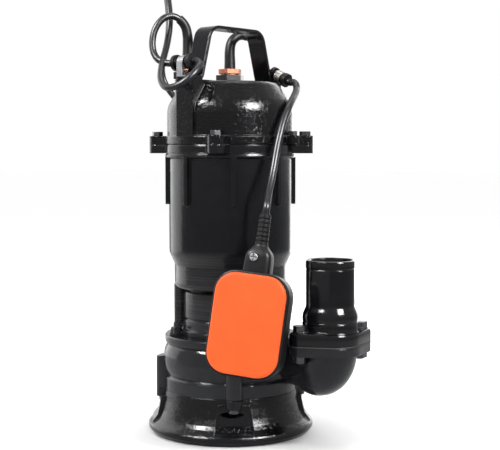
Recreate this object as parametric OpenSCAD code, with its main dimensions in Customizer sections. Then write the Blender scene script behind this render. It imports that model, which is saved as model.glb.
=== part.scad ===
// Submersible sump pump with a cutter, a bent discharge and a tethered float switch.
// Frame: origin on the pump axis at the floor, +Z up, +X towards the discharge outlet. Millimetres.

/* [Foot] */
// Radius of the foot's lip
foot_r = 86.5; // [80:0.5:95]
// Height of the foot
foot_h = 44; // [38:1:50]
// Wall of the foot's cone
foot_wall = 5; // [4:0.5:7]

/* [Volute] */
// Radius of the volute's lower ring
volute_r = 69; // [67:0.5:72]
// Height of the volute
volute_h = 57; // [54:1:62]
// Radius of the pump chamber
chamber_r = 57; // [52:0.5:59]
// Largest radius of the scroll, at the outlet
scroll_r = 76; // [74:0.5:80]
// Height of the outlet arm's centre above the foot
arm_up = 31; // [29:1:34]
// Radius of the outlet arm
arm_r = 24; // [22:0.5:25]
// Radius of the outlet arm's bore
arm_bore_r = 18.5; // [16:0.5:20]

/* [Discharge] */
// Distance from the pump axis to the outlet pipe's axis
outlet_x = 132; // [128:1:145]
// Angle of the outlet arm, clockwise from +X
arm_angle = 23; // [18:1:28]
// Half the distance between the outlet flange's bolts
outlet_bolt_x = 33; // [32:0.5:36]
// Thickness of the volute's outlet flange
outlet_flange_t = 9; // [8:0.5:14]
// Thickness of the hose connector's flange
hose_flange_t = 12.5; // [10:0.5:16]
// Thickness of the gasket between them
gasket_t = 1; // [0.5:0.25:2]
// Outer radius of the hose tail
hose_r = 25; // [24:0.5:26]
// Bore radius of the hose tail
hose_bore_r = 21; // [19:0.5:22]
// Length of the hose tail above its taper
hose_l = 43; // [36:1:60]

/* [Oil chamber] */
// Radius of the oil chamber
oil_r = 50; // [46:0.5:52]
// Height from the volute to the motor housing
oil_h = 48; // [42:1:56]
// Height of the oil chamber's lugs
lug_h = 11; // [9:1:14]

/* [Motor housing] */
// Outer radius of the motor housing
body_r = 64; // [62:0.5:66]
// Outer radius of the housing's narrow lower end
neck_r = 58.5; // [57:0.5:60]
// Height of the motor housing
body_h = 149; // [145:1:170]
// Height of the narrow lower end
neck_h = 25; // [20:1:32]
// Wall of the housing
body_wall = 6; // [5:0.5:6.5]
// Number of ribs under the flange
rib_n = 8; // [6:1:12]
// Length of the ribs
rib_l = 50; // [40:1:60]
// Radius of the flange
flange_r = 67.5; // [67:0.5:70]
// Thickness of each of the two flanges
flange_t = 9; // [7:0.5:11]

/* [Lid] */
// Height of the dome above the lid's flange
dome_h = 55.5; // [52:0.5:62]
// Radius of the dome
dome_r = 65.8; // [64:0.2:66]
// Width of the columns that carry the handle
column_w = 23; // [20:1:26]
// Reach of the columns from the axis
column_reach = 68; // [66.5:0.5:70]
// Radius of the circle of lid bolts
lid_bolt_circle = 78; // [77:0.5:82]
// Radius of the ears that hold the lid bolts
ear_r = 8.5; // [7.5:0.5:10]

/* [Handle] */
// Width of the handle's strap
strap_w = 21.5; // [18:0.5:23]
// Thickness of the strap
strap_t = 3; // [2.5:0.25:4]
// Height of the handle above the dome
handle_h = 55.5; // [50:0.5:70]

/* [Float] */
// Width of the float
float_w = 74.5; // [66:0.5:78]
// Height of the float
float_l = 101; // [95:1:110]
// Thickness of the float
float_t = 38; // [36:1:42]

/* [Motor] */
// Radius of the shaft in the bearings
shaft_r = 7.5; // [6:0.5:8]
// Length of the stator core
stator_l = 62; // [50:1:70]
// Outer radius of the rotor core
rotor_r = 33; // [30:0.5:35]
// Number of impeller vanes
vane_n = 4; // [2:1:6]

/* [Cords] */
// Diameter of the power cord
power_d = 7; // [6:0.5:8]
// Diameter of the float cord
tether_d = 7.4; // [6:0.2:8]
// Turns of the stored coil
coil_turns = 15; // [8:0.5:20]

/* [Hidden] */

$fn = 64;

// Heights of the faces where the castings meet, from the floor up.
z_volute = foot_h;
z_oil = z_volute + volute_h;
z_housing = z_oil + oil_h;
z_flange = z_housing + body_h;
z_dome = z_flange + flange_t;
z_top = z_dome + dome_h;

// Running and seating clearances.
fit_gap = 0.05;
seat_gap = 0.3;

// Heads of the M6 bolts.
bolt_af = 10;
bolt_head_h = 4.5;

// Corner directions of the foot, the volute lugs and the oil chamber's legs.
CORNERS = [45, 135, 225, 315];
corner_first = 45;

// Foot and volute bolts.
foot_bolt_circle = volute_r + 0.5;
foot_bolt_d = 6;
foot_bolt_grip = 16;
lug_r = 8.7;
foot_lug_h = 9;
lug_relief = 0.4;
suction_plate_t = 7;
suction_r = 22;
volute_top_t = 9;

// Scroll: where it starts, the turn of each arc and its growth.
scroll_start = 18;
scroll_step = 154;
scroll_grow = 5;

// Outlet.
z_arm = z_volute + arm_up;
bend_r = arm_r + 0.5;
z_outlet_flange = z_arm + 19.4;
z_outlet_face = z_outlet_flange + outlet_flange_t;
z_hose_flange = z_outlet_face + gasket_t;
z_collar = z_hose_flange + hose_flange_t;
collar_r = hose_r + 3;
collar_h = 17;
taper_h = 9;
z_tail = z_collar + collar_h + taper_h;
z_rim = z_tail + hose_l;
outlet_bolt_d = 8;
outlet_ear_r = 11;
arm_foot = outlet_x * cos(arm_angle);

// Oil chamber and legs.
leg_r = 6.2;
leg_circle = neck_r - leg_r + 0.8;
leg_foot_r = leg_r + 1;
chamber_bolt_turn = 15;
chamber_bolt_circle = oil_r + 9.3;
chamber_ear_t = 4;
oil_wall = 8;
oil_gap = 2;
spigot_h = 7;
spigot_r = 32;
seal_bore_r = 20;

// Motor.
bore_r = body_r - body_wall;
neck_bore_r = neck_r - body_wall;
stator_r = bore_r - fit_gap;
z_neck_top = z_housing + neck_h;
z_step_top = z_neck_top + 13;
housing_floor_t = 8;
lower_bearing_r = 20;
lower_bearing_h = 12;
lower_bearing_bore = 8.5;
upper_bearing_r = 17.5;
upper_bearing_h = 11;
z_lower_bearing = z_housing + housing_floor_t;
z_stator = z_step_top;
z_stator_top = z_stator + stator_l;
bracket_t = 6;
z_bracket = z_flange - bracket_t - 3;
z_upper_bearing = z_bracket - upper_bearing_h;
race_t = 4;
winding_h = 14;
capacitor_r = 16;
capacitor_l = 50;
z_shaft_top = z_bracket - 1;
impeller_r = 46;
impeller_h = 24;
z_impeller = z_volute + suction_plate_t + 5;
hub_r = 13;
shaft_nose_r = 6;
z_seal = z_oil + 1;
seal_h = 22;

// Lid.
lid_wall = 5;
lid_bolt_first = 32;
lid_bolt_d = 6;
gland_x = -30;
gland_y = 32;
gland_boss_r = 13.8;
gland_boss_h = 2;
gland_af = 27;
gland_nut_af = 22;
gland_body_h = 8;
gland_nut_h = 6.5;
z_gland = z_top + gland_boss_h;
z_gland_nut = z_gland + gland_body_h;
z_gland_top = z_gland_nut + gland_nut_h;
boot_l = 20;
z_boot_top = z_gland_top + boot_l;
test_plug_angle = 16;
test_plug_circle = dome_r + 5;

// Handle.
handle_foot_y = column_reach;
handle_bend_y = 54;
handle_top_y = 38.5;
handle_corner_r = 14;
handle_screw_x = -4;
handle_screw_y = 61;
handle_screw_d = 6;

// Clips on the handle's feet.
clip_band_t = 1.2;
clip_band_w = 8;
power_sleeve_r = 5.6;
power_ring_r = 8.3;
power_sleeve_a = [-20, -60, z_top + 17.2];
power_sleeve_b = [5, -60, z_top + 18.4];
tether_sleeve_r = 5.4;
tether_ring_r = 7.4;
tether_sleeve_a = [7, 60, z_top + 12];
tether_sleeve_b = [27, 60, z_top + 3.2];
tether_end = [33, 60, z_top + 1.3];

// Float: its centre, the way it faces and how it leans.
float_centre = [flange_r + 18.4, -65.8, z_top - 237.4];
float_yaw = 26.5;
float_lean = 8;
float_tilt = 6;
float_corner_r = 22;
float_cap_w = 26;
float_cap_h = 27;
float_boot_l = 30;
float_wall = 2.5;
float_rim_t = 8;
float_lip_t = 4;
float_edge = 2.2;
float_back_set = 0.8;
ball_r = 7;

// Route points of the cords, chosen by hand. Those above the foot count from the lid's top, and those
// beside the flange from its edge.
function moved(p, v) = [for (q = p) q + v];
TETHER_FIXED = moved([[-30, 32, 36.5], [-29.3, 34, 45.5], [-27.5, 39.5, 51.5], [-25, 47, 53.5],
  [-22.5, 54.5, 51], [-20.7, 60, 44.5], [-20, 62.5, 35.5], [-19.5, 63, 26.5], [-16.5, 62.5, 19],
  [-11, 61.5, 15], [-3, 60.3, 13]], [0, 0, z_top]);
TETHER_FREE = concat(moved([[33.4, 60, 1.3], [36, 60, 1.3], [41, 57.8, -1.7], [45.5, 53, -6.5],
  [51, 45, -10.5]], [0, 0, z_top]), moved([[-10.5, 34.5, -15.5], [-3.9, 22.5, -21], [1.5, 11.2, -28],
  [3.9, 1.5, -39.5], [5.7, -6.5, -53.5], [6.5, -12, -66.5], [7.5, -16.7, -79.5], [10.1, -24.3, -96],
  [14.9, -35, -111]], [flange_r, 0, z_top]));
POWER_LOOP = moved([[-30, -32, 36.5], [-30.2, -32.5, 47.5], [-31.2, -34.8, 57], [-34.3, -40.6, 64.3],
  [-38.3, -48, 67], [-42, -55.5, 64], [-45.3, -61.5, 56.5], [-47, -65, 47], [-46.8, -66.5, 37],
  [-44, -67, 28], [-38.5, -66.3, 21.5], [-31, -64, 18.1], [-25, -61.5, 17.2]], [0, 0, z_top]);
POWER_RISE = moved([[12, -60.8, 17.7], [18, -64, 14.7], [21.5, -70, 10], [21.5, -77, 4],
  [18, -83, -2.2], [11.5, -87, -6.8], [3.5, -88.8, -9], [-5, -88.3, -8.5], [-13, -85.5, -4.5],
  [-20.5, -80.5, 2], [-27.5, -73, 10.5], [-34, -64.5, 20], [-39, -56, 30.5], [-43, -48.5, 42.5],
  [-46.5, -42.5, 55.5], [-50.5, -38, 68.5], [-56.5, -33.5, 81.5], [-64.5, -27.5, 93.5],
  [-74.5, -19.5, 103], [-85, -10, 107.5], [-95.5, 0.5, 106.5], [-104.5, 10.5, 99], [-111, 19, 86.5],
  [-115, 24, 71.5], [-118, 25, 55.5], [-121, 23.5, 39.5], [-123, 21, 24.5], [-122, 21.5, 10.5],
  [-117, 25, -2], [-109.5, 30, -14], [-103.5, 34, -28], [-101, 36, -44.5]], [0, 0, z_top]);
POWER_DROP = [[-100, 37, z_top - 64.5], [-100, 37, 200], [-100, 37, 100], [-100.5, 37, 65], [-103, 38, 43],
  [-108.5, 41, 25], [-117, 46.5, 12], [-128, 54, 5.6]];
POWER_TAIL = [[-161.5, 86, 26], [-169.5, 94, 21], [-174, 105, 14.5], [-174.5, 118, 10.5]];

// The stored coil: where it lies, its middle radius and the side where it starts and ends.
coil_centre = [-104, 114];
coil_mid_r = 46;
coil_start = 222.4;
coil_layers = 4;
coil_gap = 0.8;
coil_lift = 1;
coil_rings = 24;
tie_w = 14;
plug_at = [-172, 177];
plug_r = 19;
plug_h = 18;
plug_relief_l = 26;
plug_cord_z = 9;
pin_l = 19;
pin_pitch = 19;

// ---- helpers ----

function unit(v) = v / norm(v);

// Points along an arc in a plane: centre, radius, start and end angle, steps.
function arc(cx, cy, r, a0, a1, n) =
  [for (i = [0 : n]) [cx + r * cos(a0 + (a1 - a0) * i / n), cy + r * sin(a0 + (a1 - a0) * i / n)]];

// One corner of a path rounded to radius r.
function corner(a, b, c, r, n) =
  let (u = unit(a - b), v = unit(c - b), half = acos(u * v) / 2, m = b + unit(u + v) * r / sin(half),
    s = b + u * r / tan(half) - m, e = b + v * r / tan(half) - m, turn = 180 - 2 * half,
    side = sign(s[0] * e[1] - s[1] * e[0]), a0 = atan2(s[1], s[0]))
  arc(m[0], m[1], r, a0, a0 + side * turn, n);

// A path with each inner corner rounded to its radius.
function rounded(p, radii, n) = concat([p[0]],
  [for (i = [1 : len(p) - 2]) each corner(p[i - 1], p[i], p[i + 1], radii[i - 1], n)], [p[len(p) - 1]]);

// The same path moved sideways by d.
function shifted(p, d) = [for (i = [0 : len(p) - 1])
  let (a = p[max(i - 1, 0)], b = p[min(i + 1, len(p) - 1)], t = unit(b - a)) p[i] + d * [-t[1], t[0]]];

// A smooth curve through the route points, steps parts to each stretch.
function smooth(p, steps) = [for (i = [0 : len(p) - 2]) for (k = [0 : steps - 1])
  let (t = k / steps, b = p[i], c = p[i + 1], a = i > 0 ? p[i - 1] : 2 * b - c,
    d = i + 2 < len(p) ? p[i + 2] : 2 * c - b)
  0.5 * (2 * b + (c - a) * t + (2 * a - 5 * b + 4 * c - d) * t * t + (3 * b - a - 3 * c + d) * t * t * t),
  p[len(p) - 1]];

function tangent(p, i) = unit(p[min(i + 1, len(p) - 1)] - p[max(i - 1, 0)]);
function carried(n, t) = unit(n - t * (n * t));
function normals(p, first) =
  [for (i = 0, n = carried(first, tangent(p, 0)); i < len(p);
    i = i + 1, n = i < len(p) ? carried(n, tangent(p, i)) : n) n];

// A round tube swept along points, as one closed solid.
module tube(p, d, sides = 8, first = [0.6, 0.8, 0]) {
  n = normals(p, first);
  rings = [for (i = [0 : len(p) - 1]) let (t = tangent(p, i), m = cross(t, n[i]))
    for (j = [0 : sides - 1]) let (a = 360 * (j + 0.5) / sides) p[i] + d / 2 * (n[i] * cos(a) + m * sin(a))];
  last = (len(p) - 1) * sides;
  faces = concat([[for (j = [0 : sides - 1]) j]], [[for (j = [0 : sides - 1]) last + sides - 1 - j]],
    [for (i = [0 : len(p) - 2]) for (j = [0 : sides - 1])
      let (a = i * sides + j, b = i * sides + (j + 1) % sides)
        each [[a, a + sides, b + sides], [a, b + sides, b]]]);
  polyhedron(rings, faces);
}

// Places its children with their Z axis along the line from a to b.
module along(a, b) {
  v = b - a;
  translate(a) rotate([0, acos(v[2] / norm(v)), atan2(v[1], v[0])]) children();
}

module hex(af, h) {
  cylinder(d = af / cos(30), h = h, $fn = 6);
}

// A hexagon bolt standing on its seat, with its shank downwards.
module bolt(d, l, af, head_h) {
  hex(af, head_h);
  translate([0, 0, -l]) cylinder(d = d, h = l + 0.5);
}

// The float's own frame: X across its face, Y into it, Z along it.
module at_float() {
  translate(float_centre) rotate([0, 0, float_yaw]) rotate([-float_lean, 0, 0]) rotate([0, float_tilt, 0])
    children();
}

// The same placing for one point.
function float_point(p) = let (x = [p[0] * cos(float_tilt) + p[2] * sin(float_tilt), p[1],
    p[2] * cos(float_tilt) - p[0] * sin(float_tilt)],
    y = [x[0], x[1] * cos(float_lean) + x[2] * sin(float_lean),
      x[2] * cos(float_lean) - x[1] * sin(float_lean)])
  float_centre + [y[0] * cos(float_yaw) - y[1] * sin(float_yaw),
    y[0] * sin(float_yaw) + y[1] * cos(float_yaw), y[2]];

// A bearing ring: outer radius, inner radius and height.
module ring(ro, ri, h) {
  difference() {
    cylinder(r = ro, h = h);
    translate([0, 0, -1]) cylinder(r = ri, h = h + 2);
  }
}

// ---- foot ----

// Flat-faced pad over each inlet slot, wider towards the lip.
module foot_pad() {
  rotate([90, 0, 90]) translate([0, 0, foot_r - 28])
    intersection() {
      linear_extrude(30) polygon([[-20.5, 10], [20.5, 10], [16, foot_h - 6], [-16, foot_h - 6]]);
      rotate([0, -90, 0]) translate([0, 0, -30]) linear_extrude(60)
        polygon([[0, 8], [0, foot_h], [foot_h - 30, foot_h - 6], [18, 19], [23.5, 12], [24, 8]]);
    }
}

// Lens-shaped inlet slot through the pad and the cone.
module foot_slot() {
  lens_w = 26;
  lens_h = 6.5;
  lens_r = (lens_w * lens_w / 4 + lens_h * lens_h / 4) / lens_h;
  rotate(-2) translate([foot_r - 28, 0, foot_h - foot_lug_h - lens_h / 2 - 2]) rotate([90, 0, 90])
    linear_extrude(40) intersection() {
      translate([0, lens_r - lens_h / 2]) circle(lens_r, $fn = 128);
      translate([0, lens_h / 2 - lens_r]) circle(lens_r, $fn = 128);
    }
}

module base_foot() color([0.05, 0.05, 0.06]) {
  cone_r = volute_r + 0.5;
  outer = concat([[foot_r - 3.5, 0]], arc(foot_r - 5, 6, 5, -25, 55, 5), [[foot_r - 7.5, 14.5],
    [foot_r - 10, 18], [foot_r - 12.5, 24], [cone_r + 1.8, foot_h - 10], [cone_r, foot_h]]);
  difference() {
    union() {
      difference() {
        union() {
          rotate_extrude($fn = 96) polygon(concat([[0, 0]], outer, [[0, foot_h]]));
          for (a = CORNERS) rotate(a) foot_pad();
        }
        translate([0, 0, -1]) cylinder(r1 = foot_r - 8, r2 = cone_r - foot_wall, h = foot_h - 6, $fn = 96);
      }
      for (a = CORNERS) rotate(a) translate([foot_bolt_circle, 0, foot_h - foot_lug_h]) {
        cylinder(r = lug_r, h = foot_lug_h);
        translate([-14, -lug_r, 0]) cube([14, 2 * lug_r, foot_lug_h]);
      }
    }
    translate([0, 0, -1]) cylinder(r = chamber_r - 9, h = foot_h + 2, $fn = 96);
    for (a = CORNERS) rotate(a) {
      translate([foot_bolt_circle, 0, -1]) cylinder(d = foot_bolt_d + 0.6, h = foot_h + 2);
      translate([foot_bolt_circle, 0, foot_h - foot_lug_h - 5.5]) cylinder(r = 6.4, h = 5.5);
      foot_slot();
    }
  }
}

module foot_bolts() color([0.07, 0.07, 0.08]) {
  for (a = CORNERS) rotate(a) translate([foot_bolt_circle, 0, foot_h - foot_lug_h])
    mirror([0, 0, 1]) bolt(foot_bolt_d, foot_lug_h + foot_bolt_grip, bolt_af, bolt_head_h);
}

// Cutting ring that closes the volute: serrated inlet and grooved face.
module suction_plate() color([0.25, 0.25, 0.26]) {
  difference() {
    translate([0, 0, z_volute]) cylinder(r = chamber_r - fit_gap, h = suction_plate_t, $fn = 96);
    translate([0, 0, z_volute - 1]) cylinder(r = suction_r, h = suction_plate_t + 2);
    for (a = [0 : 45 : 315]) rotate(a) translate([suction_r - 1, 0, z_volute - 1])
      cylinder(r = 4.5, h = suction_plate_t + 2, $fn = 32);
    for (a = [22.5 : 45 : 337.5]) rotate(a) translate([suction_r + 6, -1.5, z_volute - 1]) cube([24, 3, 3]);
  }
}

// ---- volute ----

// Centre of the scroll's arc k: each arc starts where the one before it ends.
function scroll_centre(k) = k == 0 ? [0, 0]
  : let (a = scroll_start - scroll_step * k) scroll_centre(k - 1) - scroll_grow * [cos(a), sin(a)];

// Half-oval scroll of two arcs that grows clockwise from the tongue to the outlet arm.
module scroll() {
  h = 20;
  bulge = 10;
  for (k = [0, 1]) {
    r = scroll_r - scroll_grow * (1 - k);
    c = scroll_centre(k);
    translate([c[0], c[1], z_arm]) rotate(scroll_start - scroll_step * (k + 1))
      rotate_extrude(angle = scroll_step, $fn = 96) polygon(concat([[r - 13, h], [r - 13, -h]],
        [for (j = [-6 : 6]) [r - bulge + bulge * cos(15 * j), h * sin(15 * j)]]));
  }
}

// Oval outlet flange: a disc with two ears, level with the flange's underside.
module outlet_plate(t, r, bore) {
  c = (r - outlet_ear_r) / outlet_bolt_x;
  s = sqrt(1 - c * c);
  difference() {
    union() {
      cylinder(r = r, h = t);
      for (m = [-1, 1]) translate([0, m * outlet_bolt_x, 0]) cylinder(r = outlet_ear_r, h = t);
      for (m = [-1, 1]) linear_extrude(t) polygon([[-r * s, m * r * c], [r * s, m * r * c],
        [outlet_ear_r * s, m * (outlet_bolt_x + outlet_ear_r * c)],
        [-outlet_ear_r * s, m * (outlet_bolt_x + outlet_ear_r * c)]]);
    }
    translate([0, 0, -1]) cylinder(r = bore, h = t + 2);
    for (m = [-1, 1]) translate([0, m * outlet_bolt_x, -1]) cylinder(d = outlet_bolt_d + 1, h = t + 2);
  }
}

// Everything at the outlet stands on the outlet pipe's axis, turned to the arm.
module at_outlet(z) {
  translate([outlet_x, 0, z]) rotate(-arm_angle) children();
}

// Quarter bend of tube radius r from the arm up to the flange.
module bend(r) {
  translate([-bend_r, 0, bend_r]) rotate([90, 0, 0]) rotate([0, 0, -90]) rotate_extrude(angle = 90, $fn = 96)
    translate([bend_r, 0]) circle(r);
}

// Outlet arm of tube radius r, from inside the volute to the flange.
module arm(r, start) {
  bend(r);
  translate([start - arm_foot, 0, 0]) rotate([0, 90, 0])
    cylinder(r = r + 0.4, h = arm_foot - bend_r - start + 1.5);
}

// Bolt lug with a sloping top, a little above the joint with the foot.
module volute_lug() {
  h = 37 - lug_relief;
  difference() {
    translate([foot_bolt_circle, 0, z_volute + lug_relief]) {
      cylinder(r = lug_r, h = h);
      translate([-10, seat_gap - lug_r, 0]) cube([10, 2 * (lug_r - seat_gap), h]);
    }
    translate([foot_bolt_circle - 1, -20, z_volute + 35]) rotate([0, 12, 0])
      translate([-20, 0, 0]) cube([50, 40, 20]);
  }
}

module volute_casing() color([0.05, 0.05, 0.06]) {
  flange_z = volute_h - 8;
  profile = [[0, 0], [volute_r + 0.4, 0], [volute_r + 0.4, 13], [volute_r - 2.5, 16],
    [volute_r - 3, flange_z - 2], [volute_r - 0.5, flange_z], [volute_r, flange_z + 1.5],
    [volute_r, volute_h - 1], [volute_r - 1, volute_h], [0, volute_h]];
  difference() {
    union() {
      translate([0, 0, z_volute]) rotate_extrude($fn = 96) polygon(profile);
      scroll();
      for (a = CORNERS) rotate(a) volute_lug();
      at_outlet(z_arm) arm(arm_r, 15);
      at_outlet(z_outlet_flange) outlet_plate(outlet_flange_t, hose_r + 6, arm_bore_r);
    }
    translate([0, 0, z_volute - 1]) cylinder(r = chamber_r, h = volute_h - volute_top_t + 1, $fn = 96);
    translate([0, 0, z_oil - volute_top_t - 1]) cylinder(r = spigot_r + fit_gap, h = volute_top_t + 2);
    at_outlet(z_arm) arm(arm_bore_r, 10);
    for (a = CORNERS) rotate(a) translate([foot_bolt_circle, 0, z_volute - 1])
      cylinder(d = foot_bolt_d + 0.1, h = 20);
    for (a = CORNERS) rotate(a + chamber_bolt_turn) translate([chamber_bolt_circle, 0, z_oil - 8])
      cylinder(d = 6.1, h = 9);
  }
}

module discharge_gasket() color([0.1, 0.1, 0.1]) {
  at_outlet(z_outlet_face) outlet_plate(gasket_t, hose_r + 5.5, hose_bore_r);
}

module hose_connector() color([0.05, 0.05, 0.06]) {
  h = z_rim - z_hose_flange;
  groove = h - 6;
  profile = [[hose_bore_r, 0], [collar_r + 1.5, 0], [collar_r + 1.5, hose_flange_t],
    [collar_r, hose_flange_t + 1.5],
    [collar_r, hose_flange_t + collar_h - 1], [collar_r - 0.6, hose_flange_t + collar_h],
    [hose_r, hose_flange_t + collar_h + taper_h], [hose_r, groove - 0.5], [hose_r - 0.5, groove],
    [hose_r, groove + 0.5], [hose_r, h - 1], [hose_r - 1, h], [hose_bore_r + 1, h], [hose_bore_r, h - 1]];
  at_outlet(z_hose_flange) {
    outlet_plate(hose_flange_t, hose_r + 6, hose_bore_r);
    difference() {
      rotate_extrude($fn = 96) polygon(profile);
      for (m = [-1, 1]) translate([0, m * outlet_bolt_x, -1]) cylinder(r = 8.3, h = hose_flange_t + 8);
    }
  }
}

module discharge_bolts() color([0.07, 0.07, 0.08]) {
  for (m = [-1, 1]) at_outlet(z_collar) translate([0, m * outlet_bolt_x, 0]) {
    cylinder(r = 8, h = 1.2);
    translate([0, 0, 1.2]) bolt(outlet_bolt_d, hose_flange_t + gasket_t + outlet_flange_t + 9, 13, 5.5);
  }
}

module discharge_nuts() color([0.07, 0.07, 0.08]) {
  for (m = [-1, 1]) at_outlet(z_outlet_flange - 6.5) translate([0, m * outlet_bolt_x, 0]) difference() {
    hex(13, 6.5);
    translate([0, 0, -1]) cylinder(d = outlet_bolt_d + 0.1, h = 9);
  }
}

// ---- oil chamber ----

module oil_chamber() color([0.05, 0.05, 0.06]) {
  top = oil_h - oil_gap;
  profile = [[0, 0], [oil_r + 3, 0], [oil_r + 3, 5], [oil_r, 7], [oil_r, 15.5], [oil_r - 1.2, 16.5],
    [oil_r - 1.2, 17.5], [oil_r, 18.5], [oil_r, top - 1.5], [oil_r - 1.5, top], [0, top]];
  translate([0, 0, z_oil]) difference() {
    union() {
      rotate_extrude($fn = 96) polygon(profile);
      translate([0, 0, -spigot_h]) cylinder(r = spigot_r, h = spigot_h + 1);
      cylinder(r = 34, h = oil_h);
      for (a = CORNERS) rotate(a) {
        translate([leg_circle, 0, 0]) cylinder(r = leg_foot_r, h = lug_h);
        translate([leg_circle - 12, -leg_foot_r, 0]) cube([12, 2 * leg_foot_r, lug_h]);
      }
      for (a = CORNERS) rotate(a + chamber_bolt_turn) {
        translate([chamber_bolt_circle, 0, 0]) cylinder(r = 7, h = chamber_ear_t);
        translate([chamber_bolt_circle - 14, -7, 0]) cube([14, 14, chamber_ear_t]);
      }
    }
    translate([0, 0, 6]) cylinder(r = oil_r - oil_wall, h = oil_h - oil_gap - 11);
    translate([0, 0, -spigot_h - 1]) cylinder(r = seal_bore_r, h = spigot_h + 8);
    translate([0, 0, 6]) cylinder(r = seal_bore_r, h = oil_h);
    for (a = CORNERS) rotate(a + chamber_bolt_turn) translate([chamber_bolt_circle, 0, -1])
      cylinder(d = 6.6, h = chamber_ear_t + 2);
    for (a = CORNERS) rotate(a) translate([leg_circle, 0, lug_h]) cylinder(r = leg_r + seat_gap, h = oil_h);
    rotate(180) translate([oil_r - 8, 0, 30]) rotate([0, 90, 0]) cylinder(d = 10, h = 12);
  }
}

module chamber_bolts() color([0.07, 0.07, 0.08]) {
  for (a = CORNERS) rotate(a + chamber_bolt_turn) translate([chamber_bolt_circle, 0, z_oil + chamber_ear_t])
    bolt(6, chamber_ear_t + 7, bolt_af, bolt_head_h);
}

module oil_plug() color([0.07, 0.07, 0.08]) {
  rotate(180) translate([oil_r, 0, z_oil + 30]) rotate([0, 90, 0]) bolt(9.9, 6, 13, 4);
}

module lip_seal() color([0.12, 0.12, 0.12]) {
  translate([0, 0, z_housing - 9]) ring(seal_bore_r - fit_gap, shaft_r + 1.5 + seat_gap, 8);
}

module seal_seat() color([0.75, 0.74, 0.7]) {
  translate([0, 0, z_oil - spigot_h]) ring(seal_bore_r - fit_gap, shaft_r + 1.5 + seat_gap, 6);
}

module seal_head() color([0.6, 0.6, 0.62]) {
  translate([0, 0, z_oil - spigot_h + 6 + fit_gap]) difference() {
    union() {
      cylinder(r = 14, h = 5);
      translate([0, 0, 4.5]) cylinder(r = 12, h = seal_h);
    }
    translate([0, 0, -1]) cylinder(r = shaft_r + 1.5, h = seal_h + 8);
    for (i = [0 : 2]) translate([0, 0, 8 + 6 * i]) ring(13, 10.8, 3);
  }
}

// ---- bearings and shaft ----

module balls(circle_r, r, n, z) {
  for (i = [0 : n - 1]) rotate(360 * i / n) translate([circle_r, 0, z]) sphere(r, $fn = 24);
}

module bearing_outer(r, h) ring(r, r - race_t, h);
module bearing_inner(r, h, bore) ring(bore + race_t, bore, h);

module lower_bearing_outer() color([0.7, 0.7, 0.72])
  translate([0, 0, z_lower_bearing]) bearing_outer(lower_bearing_r, lower_bearing_h);
module lower_bearing_balls() color([0.8, 0.8, 0.82]) {
  gap = lower_bearing_r - lower_bearing_bore - 2 * race_t;
  balls(lower_bearing_bore + race_t + gap / 2, gap / 2 - 0.15, 9, z_lower_bearing + lower_bearing_h / 2);
}
module lower_bearing_inner() color([0.7, 0.7, 0.72])
  translate([0, 0, z_lower_bearing]) bearing_inner(lower_bearing_r, lower_bearing_h, lower_bearing_bore);

module upper_bearing_outer() color([0.7, 0.7, 0.72])
  translate([0, 0, z_upper_bearing]) bearing_outer(upper_bearing_r, upper_bearing_h);
module upper_bearing_balls() color([0.8, 0.8, 0.82]) {
  gap = upper_bearing_r - shaft_r - 2 * race_t;
  balls(shaft_r + race_t + gap / 2, gap / 2 - 0.15, 10, z_upper_bearing + upper_bearing_h / 2);
}
module upper_bearing_inner() color([0.7, 0.7, 0.72])
  translate([0, 0, z_upper_bearing]) bearing_inner(upper_bearing_r, upper_bearing_h, shaft_r);

module shaft() color([0.65, 0.65, 0.68]) {
  nose_top = z_impeller + impeller_h;
  translate([0, 0, z_impeller]) difference() {
    cylinder(r = shaft_nose_r, h = nose_top - z_impeller);
    translate([0, 0, -1]) cylinder(r = 4.05, h = 17);
  }
  translate([0, 0, nose_top]) cylinder(r = shaft_r + 1.5, h = z_lower_bearing - nose_top - 1);
  translate([0, 0, z_lower_bearing - 1.5]) cylinder(r = lower_bearing_bore, h = lower_bearing_h + 2);
  translate([0, 0, z_lower_bearing + lower_bearing_h])
    cylinder(r = 11, h = z_stator_top - z_lower_bearing - lower_bearing_h + 4);
  translate([0, 0, z_stator_top]) cylinder(r = shaft_r + 1.5, h = z_upper_bearing - z_stator_top);
  translate([0, 0, z_upper_bearing - 1]) cylinder(r = shaft_r, h = z_shaft_top - z_upper_bearing);
}

module rotor_core() color([0.5, 0.5, 0.52]) {
  translate([0, 0, z_stator - 3]) {
    difference() {
      cylinder(r = rotor_r, h = stator_l + 6);
      translate([0, 0, -1]) cylinder(r = 11 + fit_gap, h = stator_l + 8);
    }
    for (a = [0 : 45 : 315]) rotate(a) translate([24, -1.5, stator_l + 5]) cube([7, 3, 7]);
  }
}

// Semi-open impeller: a back plate, a hub and backward-curved vanes, each in ten steps outwards.
function vane_reach(k) = hub_r - 2 + k * (impeller_r - hub_r + 1) / 10;
module impeller() color([0.06, 0.06, 0.07]) {
  plate_t = 4;
  vane_t = 5;
  translate([0, 0, z_impeller]) difference() {
    union() {
      translate([0, 0, impeller_h - plate_t]) cylinder(r = impeller_r, h = plate_t);
      cylinder(r = hub_r, h = impeller_h);
      for (i = [0 : vane_n - 1]) rotate(360 * i / vane_n) linear_extrude(impeller_h - 1)
        polygon(concat([for (k = [0 : 10]) vane_reach(k) * [cos(9 * k), sin(9 * k)]],
          [for (k = [10 : -1 : 0]) vane_reach(k) * [cos(8 * k + vane_t * 3), sin(8 * k + vane_t * 3)]]));
    }
    translate([0, 0, -1]) cylinder(r = shaft_nose_r + fit_gap, h = impeller_h + 2);
    translate([0, 0, -1]) cylinder(r = 9, h = 3);
  }
}

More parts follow.
